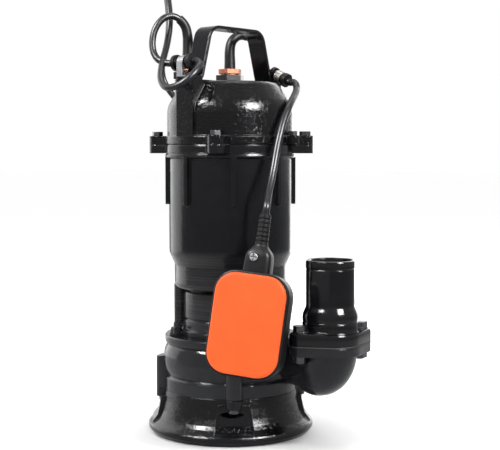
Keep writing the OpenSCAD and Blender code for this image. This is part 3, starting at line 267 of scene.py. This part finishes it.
WHITE_PLASTIC = moulded("white_plastic", (0.75, 0.75, 0.72), 0.35)

FINISH = {
    PAINT: ["handle", "hose_connector"],
    PAINT_LOW: ["volute_casing"],
    PAINT_TURNED: ["oil_chamber"],
    PAINT_BODY: ["motor_housing"],
    PAINT_COARSE: ["base_foot", "top_cover"],
    ZINC: ["foot_bolts", "discharge_bolts", "discharge_nuts", "chamber_bolts", "oil_plug", "lid_bolts",
           "test_plug", "handle_screws"],
    IRON: ["suction_plate", "impeller", "upper_bracket"],
    GASKET: ["discharge_gasket", "lip_seal", "lid_seal"],
    CERAMIC: ["seal_seat"],
    STEEL: ["seal_head", "cutter", "impeller_bolt", "shaft", "float_screw"],
    CHROME: ["lower_bearing_outer", "lower_bearing_balls", "lower_bearing_inner", "upper_bearing_outer",
             "upper_bearing_balls", "upper_bearing_inner", "float_ball", "plug_pins"],
    LAMINATE: ["rotor_core", "stator_core"],
    WIRE: ["stator_windings"],
    WHITE_PLASTIC: ["capacitor"],
    GLAND_PLASTIC: ["gland_bodies", "power_plug"],
    COPPER: ["gland_nuts"],
    RUBBER: ["power_cord_boot", "float_cord_boot", "power_clip_sleeve", "float_clip_sleeve", "float_boot"],
    STRIP: ["float_clip"],
    SCREW_STEEL: ["power_clip"],
    ORANGE: ["float_front_shell"],
    BLACK_PLASTIC: ["float_back_shell", "float_rim", "float_cap", "float_switch", "coil_tie"],
}
for material, names in FINISH.items():
    for name in names:
        for piece_slot in NODES[name].material_slots:
            piece_slot.material = material


# ---- cords ----

# Paths given point by point: from the float's gland to the clip, from the clip to the float, and the power
# cord's loop, its rise through the clip, its drop behind the pump and its end at the plug.
TETHER_FIXED = [(-30, 32, 399), (-29.3, 34, 408), (-27.5, 39.5, 414), (-25, 47, 416), (-22.5, 54.5, 413.5),
                (-20.7, 60, 407), (-20, 62.5, 398), (-19.5, 63, 389), (-16.5, 62.5, 381.5),
                (-11, 61.5, 377.5), (-3, 60.3, 375.5), (7, 60, 374.5), (27, 60, 365.7), (31, 60, 363.8),
                (33, 60, 363.8)]
TETHER_FREE = [(33.4, 60, 363.8), (36, 60, 363.8), (41, 57.8, 360.8), (45.5, 53, 356), (51, 45, 352),
               (57, 34.5, 347), (63.6, 22.5, 341.5), (69, 11.2, 334.5), (71.4, 1.5, 323), (73.2, -6.5, 309),
               (74, -12, 296), (75, -16.7, 283), (77.6, -24.3, 266.5), (82.4, -35, 251.5)]
POWER_LOOP = [(-30, -32, 399), (-30.2, -32.5, 410), (-31.2, -34.8, 419.5), (-34.3, -40.6, 426.8),
              (-38.3, -48, 429.5), (-42, -55.5, 426.5), (-45.3, -61.5, 419), (-47, -65, 409.5),
              (-46.8, -66.5, 399.5), (-44, -67, 390.5), (-38.5, -66.3, 384), (-31, -64, 380.6),
              (-25, -61.5, 379.7), (-20, -60, 379.7), (5, -60, 380.9)]
POWER_RISE = [(12, -60.8, 380.2), (18, -64, 377.2), (21.5, -70, 372.5), (21.5, -77, 366.5), (18, -83, 360.3),
              (11.5, -87, 355.7), (3.5, -88.8, 353.5), (-5, -88.3, 354), (-13, -85.5, 358),
              (-20.5, -80.5, 364.5), (-27.5, -73, 373), (-34, -64.5, 382.5), (-39, -56, 393),
              (-43, -48.5, 405), (-46.5, -42.5, 418),
              (-50.5, -38, 431), (-56.5, -33.5, 444), (-64.5, -27.5, 456), (-74.5, -19.5, 465.5),
              (-85, -10, 470), (-95.5, 0.5, 469), (-104.5, 10.5, 461.5), (-111, 19, 449),
              (-115, 24, 434), (-118, 25, 418),
              (-121, 23.5, 402), (-123, 21, 387), (-122, 21.5, 373), (-117, 25, 360.5), (-109.5, 30, 348.5),
              (-103.5, 34, 334.5), (-101, 36, 318)]
POWER_DROP = [(-100, 37, 298), (-100, 37, 200), (-100, 37, 100), (-100.5, 37, 65), (-103, 38, 43),
              (-108.5, 41, 25), (-117, 46.5, 12), (-128, 54, 5.6)]
POWER_TAIL = [(-161.5, 86, 26), (-169.5, 94, 21), (-174, 105, 14.5), (-174.5, 118, 10.5), (-172, 132, 9)]
POWER_D, TETHER_D = 7, 7.4
# The stored coil: its middle, mean radius, the direction in degrees where it starts, its layers, its
# turns, its height over the floor, and the pitch of its windings.
COIL_CENTRE = (-104, 114)
COIL_MID_R, COIL_START, COIL_LAYERS, COIL_TURNS, COIL_LIFT = 46, 222.4, 4, 15, 1
COIL_PITCH = POWER_D + 0.8
LAYER_TURNS = COIL_TURNS / COIL_LAYERS
COIL_OUT = COIL_MID_R + LAYER_TURNS * COIL_PITCH / 2
COIL_IN = COIL_OUT - LAYER_TURNS * COIL_PITCH
COIL_STEPS = 36

# The float's width, length and thickness, its neck's height and its boot's length, and its place.
FLOAT_W, FLOAT_L, FLOAT_T = 74.5, 101, 38
CAP_H, BOOT_L = 27, 30
FLOAT_CENTRE = Vector((85.9, -65.8, 125.1))
FLOAT_TURN = Matrix.Rotation(math.radians(26.5), 4, "Z") @ Matrix.Rotation(math.radians(-8), 4, "X") \
    @ Matrix.Rotation(math.radians(6), 4, "Y")
# Straight length of cord below the float's boot.
BOOT_LEAD = 8


def smooth(points, steps):
    """A smooth curve through the points, steps parts to each stretch."""
    p = [Vector(v) for v in points]
    out = []
    for i in range(len(p) - 1):
        b, c = p[i], p[i + 1]
        a = p[i - 1] if i else 2 * b - c
        d = p[i + 2] if i + 2 < len(p) else 2 * c - b
        for k in range(steps):
            t = k / steps
            out.append(0.5 * (2 * b + (c - a) * t + (2 * a - 5 * b + 4 * c - d) * t * t
                              + (3 * b - a - 3 * c + d) * t ** 3))
    return out + [p[-1]]


def eased(t):
    """Runs from 0 to 1 with a soft start and end."""
    t = min(max(t, 0), 1)
    return t * t * (3 - 2 * t)


def coil_point(u):
    """The coil's centre line after u turns: layers wind inwards and outwards in turn."""
    a = math.radians(COIL_START - 360 * u)
    k = min(int(u / LAYER_TURNS), COIL_LAYERS - 1)
    w = u - k * LAYER_TURNS
    r = COIL_OUT - COIL_PITCH * w if k % 2 == 0 else COIL_IN + COIL_PITCH * w
    climb = sum(eased(2 * (u - j * LAYER_TURNS) + 0.5) for j in range(1, COIL_LAYERS))
    return Vector((COIL_CENTRE[0] + r * math.cos(a), COIL_CENTRE[1] + r * math.sin(a),
                   COIL_LIFT + POWER_D / 2 + COIL_PITCH * climb))


def tube(name, points, diameter, material):
    """A round cord along points in millimetres, as one curve."""
    curve = bpy.data.curves.new(name, "CURVE")
    curve.dimensions = "3D"
    curve.bevel_depth = diameter / 2 * MM
    curve.bevel_resolution = 5
    curve.use_fill_caps = True
    spline = curve.splines.new("POLY")
    spline.points.add(len(points) - 1)
    for item, p in zip(spline.points, points):
        item.co = (*(p * MM), 1)
    spline.use_smooth = True
    piece = bpy.data.objects.new(name, curve)
    curve.materials.append(material)
    bpy.context.collection.objects.link(piece)
    return piece


def float_point(x, y, z):
    """A point of the float's own frame, as part.scad turns and places it."""
    return FLOAT_TURN @ Vector((x, y, z)) + FLOAT_CENTRE


heading = Vector((math.cos(math.radians(COIL_START - 90)), math.sin(math.radians(COIL_START - 90)), 0))
coil = [coil_point(i / COIL_STEPS) for i in range(COIL_TURNS * COIL_STEPS + 1)]
coil_first = coil[0] - POWER_D * heading
coil_last = coil[-1] + POWER_D * heading
power_path = smooth(POWER_LOOP + POWER_RISE + POWER_DROP + [coil_first], 5) + coil \
    + smooth([coil_last] + POWER_TAIL, 6)
power_cord = tube("power_cord", power_path, POWER_D, SHEATH)
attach(power_cord, "pump")
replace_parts(power_cord, "power_cord_lead", "power_cord_coil", "power_cord_tail")

fixed_path = smooth(TETHER_FIXED, 5)
tether_fixed = tube("float_cord_to_clip", fixed_path, TETHER_D, SHEATH)
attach(tether_fixed, "pump")
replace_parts(tether_fixed, "float_cord_fixed")

boot_top = float_point(0, 0, FLOAT_L / 2 + CAP_H + BOOT_L)
boot_rise = (boot_top - FLOAT_CENTRE).normalized()
free_path = smooth(TETHER_FREE + [boot_top + BOOT_LEAD * boot_rise, boot_top], 5)
tether_free = tube("float_cord", free_path, TETHER_D, SHEATH)
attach(tether_free, "float")
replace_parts(tether_free, "float_cord_free")


# ---- lofted pieces that stand for plainer solids ----

# Edges bent more than this stay sharp in the shading.
SHARP = math.radians(32)


def loft(name, loops, body, material, place, ring=False):
    """A closed piece through loops of points. ring joins the last loop to the first."""
    mesh = bmesh.new()
    rows = [[mesh.verts.new(place(*point) * MM) for point in loop] for loop in loops]
    for a, b in zip(rows, rows[1:] + (rows[:1] if ring else [])):
        for k in range(len(a)):
            n = (k + 1) % len(a)
            mesh.faces.new((a[k], a[n], b[n], b[k]))
    if not ring:
        mesh.faces.new(reversed(rows[0]))
        mesh.faces.new(rows[-1])
    bmesh.ops.recalc_face_normals(mesh, faces=mesh.faces)
    for face in mesh.faces:
        face.smooth = True
    for edge in mesh.edges:
        edge.smooth = edge.calc_face_angle(0) < SHARP
    data = bpy.data.meshes.new(name)
    mesh.to_mesh(data)
    mesh.free()
    data.materials.append(material)
    piece = bpy.data.objects.new(name, data)
    bpy.context.collection.objects.link(piece)
    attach(piece, body)
    return piece


def circle(radius, z, count):
    """A level round of points."""
    turns = [2 * math.pi * k / count for k in range(count)]
    return [(radius * math.cos(a), radius * math.sin(a), z) for a in turns]


# ---- float shells ----

CORNER_R, WALL = 22, 2.5
# The lid: its inset from the rim, its rounded edge, the dip of its face, its skirt and thickness.
LID_INSET, LID_EDGE, LID_DIP, LID_SKIRT, LID_THICK = 2.2, 3, 0.9, 4.2, 2.6
# The rim starts behind the lid's edge and ends at this depth, a little proud of the back shell.
RIM_START, RIM_END = 4.3, 12
BACK_INSET, BACK_EDGE, BACK_CROWN = 0.8, 11, 0.8
FACE_MARGIN = 0.7
CORNER_STEPS, EDGE_STEPS = 12, 8


def outline(inset, y, scale=1.0):
    """The float's face set in by inset, at depth y."""
    c = CORNER_R - inset
    w, l = FLOAT_W / 2 - CORNER_R, FLOAT_L / 2 - CORNER_R
    points = []
    for corner, (x, z) in enumerate([(w, l), (-w, l), (-w, -l), (w, -l)]):
        for k in range(CORNER_STEPS + 1):
            a = math.radians(90 * (corner + k / CORNER_STEPS))
            points.append((scale * (x + c * math.cos(a)), y, scale * (z + c * math.sin(a))))
    return points


def rounded_edge(inset, y, radius, side):
    """Loops of the float's rounded edge up to its face at y, on the side of -1 or 1."""
    turns = [math.radians(90 * k / EDGE_STEPS) for k in range(EDGE_STEPS + 1)]
    return [outline(inset + radius * (1 - math.cos(t)), y - side * radius * (1 - math.sin(t))) for t in turns]


def crown(inset, y, rise):
    """Loops of the float's slightly domed face, from its middle out."""
    return [outline(inset, y + rise * (1 - s * s), s) for s in (0.1, 0.25, 0.45, 0.65, 0.85)]


def float_lid():
    y = -FLOAT_T / 2
    inner = LID_INSET + WALL
    skirt = [outline(LID_INSET, y + LID_SKIRT), outline(inner, y + LID_SKIRT), outline(inner, y + LID_THICK)]
    face = crown(LID_INSET + LID_EDGE, y, -LID_DIP)
    return face + rounded_edge(LID_INSET, y, LID_EDGE, -1)[::-1] + skirt


def float_body():
    """The back shell and the rim in one, hollow, from the cavity's floor round to the back."""
    front, back = -FLOAT_T / 2, FLOAT_T / 2
    inner, seat = BACK_INSET + WALL, LID_INSET + WALL
    floor_inset = BACK_INSET + BACK_EDGE + FACE_MARGIN
    cavity = [outline(floor_inset, back - WALL), outline(floor_inset - 4.5, back - WALL - 1),
              outline(inner, back - BACK_EDGE + 1), outline(inner, front + RIM_END),
              outline(seat, front + RIM_END), outline(seat, front + RIM_START)]
    rim = [outline(1.3, front + RIM_START - 0.2), outline(0.4, front + RIM_START + 0.2),
           outline(0, front + RIM_START + 1.1), outline(0, front + RIM_END - 0.6),
           outline(0.25, front + RIM_END - 0.1), outline(BACK_INSET, front + RIM_END + 0.1)]
    outside = rounded_edge(BACK_INSET, back, BACK_EDGE, 1) + crown(floor_inset, back, BACK_CROWN)[::-1]
    return cavity + rim + outside


lid = loft("float_lid", float_lid(), "float", ORANGE, float_point)
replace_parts(lid, "float_front_shell")
shell = loft("float_body", float_body(), "float", BLACK_PLASTIC, float_point)
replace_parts(shell, "float_back_shell", "float_rim")


# ---- float neck, its screw and its strain relief ----

# Half width, half depth, squareness and height of each loop of the neck.
NECK = [(13.4, 11.4, 4.5, 0.1), (13.2, 11.3, 4.5, 8), (12.8, 11.2, 4.5, 15), (12.3, 11, 4.2, 17.5),
        (11.2, 10.2, 4, 19.8), (9.6, 9, 3.4, 22), (8, 7.8, 2.8, 24), (6.9, 6.8, 2.3, 25.6),
        (6.5, 6.4, 2, CAP_H)]
NECK_SIDES, BOOT_SIDES = 64, 48
# The ribbed boot: its ribs' first radius and how much each is slimmer, the core, and how far the four
# spines that bridge the slots lie below the ribs.
RIBS, RIB_R, RIB_TAPER, CORE_R, SPINE_DROP, BOOT_END_R = 7, 6.4, 0.1, 4.5, 0.5, 4.2
# Where a rib ends and its slot starts and ends, as shares of the pitch.
RIB_SHARE, SLOT_START, SLOT_END = 0.56, 0.6, 0.96
SPINE_COS = 0.9
SCREW_X, SCREW_Y, SCREW_UP, SCREW_R = -3, -11.1, 14, 3.9
# Half the width of the screw's cross slots at their floor and at the top, the head's chamfer,
# and the heights of its seat and of the four lobes between the slots.
SLOT_LOW, SLOT_HIGH, HEAD_CHAMFER = 0.6, 0.75, 0.5
SEAT_LOW, SEAT_HIGH, LOBE_LOW, LOBE_EDGE, LOBE_TOP = -0.6, 0.5, 0.4, 1.1, 1.5
SCREW_SIDES, LOBE_STEPS = 32, 8


def neck_point(x, y, z):
    """A point measured up from the float's top."""
    return float_point(x, y, FLOAT_L / 2 + z)


def boot_point(x, y, z):
    """A point measured up from the neck's top."""
    return neck_point(x, y, CAP_H + z)


def screw_point(x, y, z):
    """A point of the neck's screw, z outwards from the neck."""
    return neck_point(SCREW_X + x, SCREW_Y - z, SCREW_UP + y)


def squarish(half_x, half_y, power, z):
    """A rounded square: power 2 is round, more is squarer."""
    points = []
    for x, y, _ in circle(1, 0, NECK_SIDES):
        points.append((half_x * math.copysign(abs(x) ** (2 / power), x),
                       half_y * math.copysign(abs(y) ** (2 / power), y), z))
    return points


def slot_loop(z, rib_r):
    """A round of the boot's slots: the core, bridged by four spines."""
    points = []
    for k in range(BOOT_SIDES):
        a = 2 * math.pi * k / BOOT_SIDES
        r = rib_r - SPINE_DROP if abs(math.cos(2 * a)) > SPINE_COS else CORE_R
        points.append((r * math.cos(a), r * math.sin(a), z))
    return points


def boot():
    pitch = BOOT_L / RIBS
    loops = [circle(RIB_R, 0, BOOT_SIDES)]
    for rib in range(RIBS):
        r = RIB_R - RIB_TAPER * rib
        loops += [circle(r, (rib + RIB_SHARE) * pitch, BOOT_SIDES),
                  slot_loop((rib + SLOT_START) * pitch, r), slot_loop((rib + SLOT_END) * pitch, r)]
        if rib < RIBS - 1:
            loops.append(circle(r - RIB_TAPER, (rib + 1) * pitch, BOOT_SIDES))
    return loops + [circle(BOOT_END_R, BOOT_L, BOOT_SIDES)]


def quarter(turn, radius, slot, z):
    """One quarter of the screw's head beside its cross slots."""
    edge = math.asin(slot / radius)
    points = [(slot, slot)]
    for k in range(LOBE_STEPS + 1):
        a = edge + (math.pi / 2 - 2 * edge) * k / LOBE_STEPS
        points.append((radius * math.cos(a), radius * math.sin(a)))
    c, s = math.cos(turn * math.pi / 2), math.sin(turn * math.pi / 2)
    return [(c * x - s * y, s * x + c * y, z) for x, y in points]


neck = loft("float_neck", [squarish(*row) for row in NECK], "float", BLACK_PLASTIC, neck_point)
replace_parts(neck, "float_cap")
float_boot = loft("float_cord_relief", boot(), "float", RUBBER, boot_point)
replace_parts(float_boot, "float_boot")
seat = loft("float_screw_seat", [circle(SCREW_R, z, SCREW_SIDES) for z in (SEAT_LOW, SEAT_HIGH)],
            "float", SCREW_STEEL, screw_point)
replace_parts(seat, "float_screw")
for turn in range(4):
    lobe = loft(f"float_screw_lobe_{turn}",
                [quarter(turn, SCREW_R, SLOT_LOW, LOBE_LOW), quarter(turn, SCREW_R, SLOT_LOW, LOBE_EDGE),
                 quarter(turn, SCREW_R - HEAD_CHAMFER, SLOT_HIGH, LOBE_TOP)],
                "float", SCREW_STEEL, screw_point)


# ---- outlet: hose connector and elbow ----

OUTLET_X, ARM_TURN = 132, math.radians(-23)
Z_FLANGE, FLANGE_T, Z_RIM = 104.4, 12.5, 185.9
PLATE_R, EAR_R, BOLT_Y = 31, 11, 33
HOSE_R, BORE_R, WASHER_R = 25, 21, 8.3
OVAL_SIDES = 96
z_plate = Z_FLANGE + FLANGE_T
# Rows of inset and height for the plate's two rounded edges.
PLATE_EDGES = [(1, Z_FLANGE), (0.3, Z_FLANGE + 0.3), (0, Z_FLANGE + 1), (0, z_plate - 2.6),
               (0.4, z_plate - 1.3), (1.3, z_plate - 0.4), (2.6, z_plate)]
# Rows of radius and height over the plate: the neck beside the bolts, the collar and its shoulder.
NECK_ROWS = [(30.4, 0), (29.3, 0.6), (28.8, 2), (28.7, 6.9)]
COLLAR_ROWS = [(28.7, 7), (28.6, 8.8), (28.2, 9.4), (28.5, 12.1), (28.5, 14.5), (28.3, 16.3), (27.9, 18.1),
               (27.2, 20), (26.4, 21.7), (25.6, 23.3), (25.1, 24.7), (HOSE_R, 26.3)]
# Rows of radius and depth below the rim: a groove, the rim's bead and its inner edge.
RIM_ROWS = [(HOSE_R, 9), (24.6, 8.4), (24.7, 7.8), (25.3, 7.2), (25.3, 1.2), (24.9, 0.4), (24.2, 0),
            (22.2, 0), (21.3, 0.5), (BORE_R, 1.6)]
# The elbow's skin: the arm's height, the bend's radius and the tube's, and how much fuller the skin is
# at its sides, at its belly and where the bend starts.
Z_ARM, BEND_R, TUBE_R = 75, 24.5, 24.1
SIDE_GROWTH, BELLY_GROWTH, HEEL_GROWTH = 2.3, 0.9, 1.2
ELBOW_SIDES = 72
# The skin starts on the straight arm, where turns are below 0, and swells to its full size in steps.
ARM_START, SWELL_START, SWELL_STEP, SWELL_STEPS = -60, -45, 7.5, 7


def outlet_point(x, y, z):
    """A point of the outlet's own frame, which stands on the hose tail's axis and is turned to the arm."""
    c, s = math.cos(ARM_TURN), math.sin(ARM_TURN)
    return Vector((OUTLET_X + x * c - y * s, x * s + y * c, z))


def oval(inset, z):
    """The flange's outline, round in the middle and at both ears, set in by inset."""
    ear_cos = (PLATE_R - EAR_R) / BOLT_Y
    points = []
    for k in range(OVAL_SIDES):
        t = 2 * math.pi * k / OVAL_SIDES
        at_ear = abs(math.sin(t)) > ear_cos
        r = (EAR_R if at_ear else PLATE_R) - inset
        shift = math.copysign(BOLT_Y, math.sin(t)) if at_ear else 0
        points.append((r * math.cos(t), shift + r * math.sin(t), z))
    return points


def around(radius, z, spot=False):
    """A circle with its points in the oval's directions. spot leaves room for the bolts' washers."""
    points = []
    for x, y, _ in oval(0, 0):
        a = math.atan2(y, x)
        r = radius
        miss = BOLT_Y * abs(math.cos(a))
        if spot and miss < WASHER_R:
            r = min(r, BOLT_Y * abs(math.sin(a)) - math.sqrt(WASHER_R ** 2 - miss ** 2))
        points.append((r * math.cos(a), r * math.sin(a), z))
    return points


def bend_loop(turn, swell):
    """A round of the elbow at this turn of its bend in degrees. Below 0 it lies on the straight arm."""
    t = math.radians(max(turn, 0))
    back = math.radians(min(turn, 0)) * BEND_R
    belly = BELLY_GROWTH * swell
    points = []
    for k in range(ELBOW_SIDES):
        a = 2 * math.pi * k / ELBOW_SIDES
        out = BEND_R + belly + (TUBE_R + belly) * math.cos(a)
        out += HEEL_GROWTH * swell * max(math.cos(a), 0) * (1 - math.sin(t)) * math.cos(t)
        points.append((back - BEND_R + out * math.sin(t), (TUBE_R + SIDE_GROWTH * swell) * math.sin(a),
                       Z_ARM + BEND_R - out * math.cos(t)))
    return points


tail_loops = [oval(*row) for row in PLATE_EDGES] + [around(r, z_plate + up, True) for r, up in NECK_ROWS] \
    + [around(r, z_plate + up) for r, up in COLLAR_ROWS] + [around(r, Z_RIM - down) for r, down in RIM_ROWS] \
    + [around(BORE_R, Z_FLANGE)]
hose_tail = loft("hose_tail", tail_loops, "pump", PAINT, outlet_point, ring=True)
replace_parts(hose_tail, "hose_connector")

arm_turns = [(ARM_START, 0)] + [(SWELL_START + SWELL_STEP * k, eased(k / SWELL_STEPS))
                                for k in range(SWELL_STEPS + 1)]
bend_turns = [(turn, 1) for turn in range(20, 91, 10)]
elbow = loft("outlet_elbow", [bend_loop(*row) for row in arm_turns + bend_turns], "pump", PAINT_LOW,
             outlet_point)


# ---- bent strain reliefs at the cable glands ----

# How far a relief reaches down into its gland, its whole length, and its radius at both ends.
RELIEF_DIP, RELIEF_L, RELIEF_R, RELIEF_END_R = 24, 56, 6.3, 4.6
# A tube of this width takes its points' radii in millimetres.
UNIT_TUBE_D = 2


def relief(name, cord_points):
    """A tapered sleeve that follows the start of a cord."""
    foot = Vector(cord_points[0])
    path = smooth([foot - Vector((0, 0, RELIEF_DIP)), foot - Vector((0, 0, RELIEF_DIP / 2))] + cord_points, 6)
    reach = [0]
    for a, b in zip(path, path[1:]):
        reach.append(reach[-1] + (b - a).length)
    reach = [gone for gone in reach if gone <= RELIEF_L]
    piece = tube(name, path[:len(reach)], UNIT_TUBE_D, RUBBER)
    for point, gone in zip(piece.data.splines[0].points, reach):
        point.radius = RELIEF_R + (RELIEF_END_R - RELIEF_R) * gone / RELIEF_L
    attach(piece, "pump")
    return piece


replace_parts(relief("float_gland_relief", TETHER_FIXED), "float_cord_boot")
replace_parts(relief("power_gland_relief", POWER_LOOP), "power_cord_boot")


# ---- floor ----

FLOOR_HALF, FLOOR_Z, PAPER_WHITE = 12, -0.0005, (0.86, 0.86, 0.86, 1)
# The floor shows its shadow within the first distance of the pump and pure white beyond the second.
SHADOW_NEAR, SHADOW_FAR, FLOOR_GLOW = 0.09, 0.3, 0.6

mesh = bpy.data.meshes.new("floor")
mesh.from_pydata([(x, y, FLOOR_Z) for x, y in ((-FLOOR_HALF, -FLOOR_HALF), (FLOOR_HALF, -FLOOR_HALF),
                                              (FLOOR_HALF, FLOOR_HALF), (-FLOOR_HALF, FLOOR_HALF))],
                 [], [(0, 1, 2, 3)])
floor = bpy.data.objects.new("floor", mesh)
bpy.context.collection.objects.link(floor)

paper = Nodes("floor_paper")
paper.set(Base_Color=PAPER_WHITE, Roughness=0.75, Specular_IOR_Level=0.1)
distance = paper.add("ShaderNodeVectorMath", operation="LENGTH")
paper.link(paper.place, "Object", distance, 0)
fade = paper.span(distance, "Value", SHADOW_NEAR, SHADOW_FAR, 0, FLOOR_GLOW)
rays = paper.add("ShaderNodeLightPath")
shown = paper.add("ShaderNodeMath", operation="MULTIPLY")
paper.link(rays, "Is Camera Ray", shown, 0)
paper.link(fade, "Result", shown, 1)
glow = paper.add("ShaderNodeEmission")
paper.link(shown, "Value", glow, "Strength")
both = paper.add("ShaderNodeAddShader")
paper.link(paper.shader, "BSDF", both, 0)
paper.link(glow, "Emission", both, 1)
paper.link(both, "Shader", paper.out, "Surface")
floor.data.materials.append(paper.material)


# ---- studio ----

# The surroundings are white to the camera and in reflections, and dimmer as a light.
DIM, WHITE = 0.4, 1.0


def surroundings():
    world = bpy.data.worlds.new("studio")
    bpy.context.scene.world = world
    world.use_nodes = True
    tree = world.node_tree
    tree.nodes.clear()
    rays = tree.nodes.new("ShaderNodeLightPath")

    def either(a, b):
        larger = tree.nodes.new("ShaderNodeMath")
        larger.operation = "MAXIMUM"
        tree.links.new(a, larger.inputs[0])
        tree.links.new(b, larger.inputs[1])
        return larger.outputs["Value"]

    mirrored = either(rays.outputs["Is Glossy Ray"], rays.outputs["Is Transmission Ray"])
    level = tree.nodes.new("ShaderNodeMapRange")
    level.inputs["To Min"].default_value = DIM
    level.inputs["To Max"].default_value = WHITE
    tree.links.new(either(rays.outputs["Is Camera Ray"], mirrored), level.inputs["Value"])
    sky = tree.nodes.new("ShaderNodeBackground")
    sky.inputs["Color"].default_value = (1, 1, 1, 1)
    tree.links.new(level.outputs["Result"], sky.inputs["Strength"])
    end = tree.nodes.new("ShaderNodeOutputWorld")
    tree.links.new(sky.outputs["Background"], end.inputs["Surface"])


def softbox(name, at, aim_height, width, height, watts, diffuse, glossy):
    """A lamp placed as the camera sees it and aimed at the pump's axis.

    It can be kept out of what it lights evenly (diffuse) or out of reflections (glossy).
    """
    lamp = bpy.data.lights.new(name, "AREA")
    lamp.shape = "RECTANGLE"
    lamp.size, lamp.size_y, lamp.energy = width, height, watts
    piece = bpy.data.objects.new(name, lamp)
    bpy.context.collection.objects.link(piece)
    piece.location = seen(*at)
    piece.rotation_euler = (seen(0, 0, aim_height) - seen(*at)).to_track_quat("-Z", "Y").to_euler()
    piece.visible_diffuse, piece.visible_glossy = diffuse, glossy


surroundings()
softbox("key_left", (-0.78, -0.61, 1.08), 0.25, 0.34, 0.34, 10, diffuse=True, glossy=False)
softbox("key_right", (0.8, -0.6, 1.02), 0.25, 0.3, 0.34, 9, diffuse=True, glossy=False)
softbox("glint_left", (-0.83, -0.54, 1.14), 0.3, 0.4, 0.4, 80, diffuse=False, glossy=True)
softbox("glint_right", (0.78, -0.84, 0.93), 0.3, 0.42, 0.46, 95, diffuse=False, glossy=True)
softbox("edge_left", (-0.86, 0.6, 0.45), 0.24, 0.95, 1.2, 9, diffuse=True, glossy=True)
softbox("edge_right", (0.5, 1.09, 0.45), 0.24, 0.5, 1.2, 5, diffuse=True, glossy=True)
softbox("top_box", (0, 0.3, 1.5), 0.2, 0.8, 0.5, 6, diffuse=True, glossy=True)

bpy.context.scene.view_settings.view_transform = "Standard"
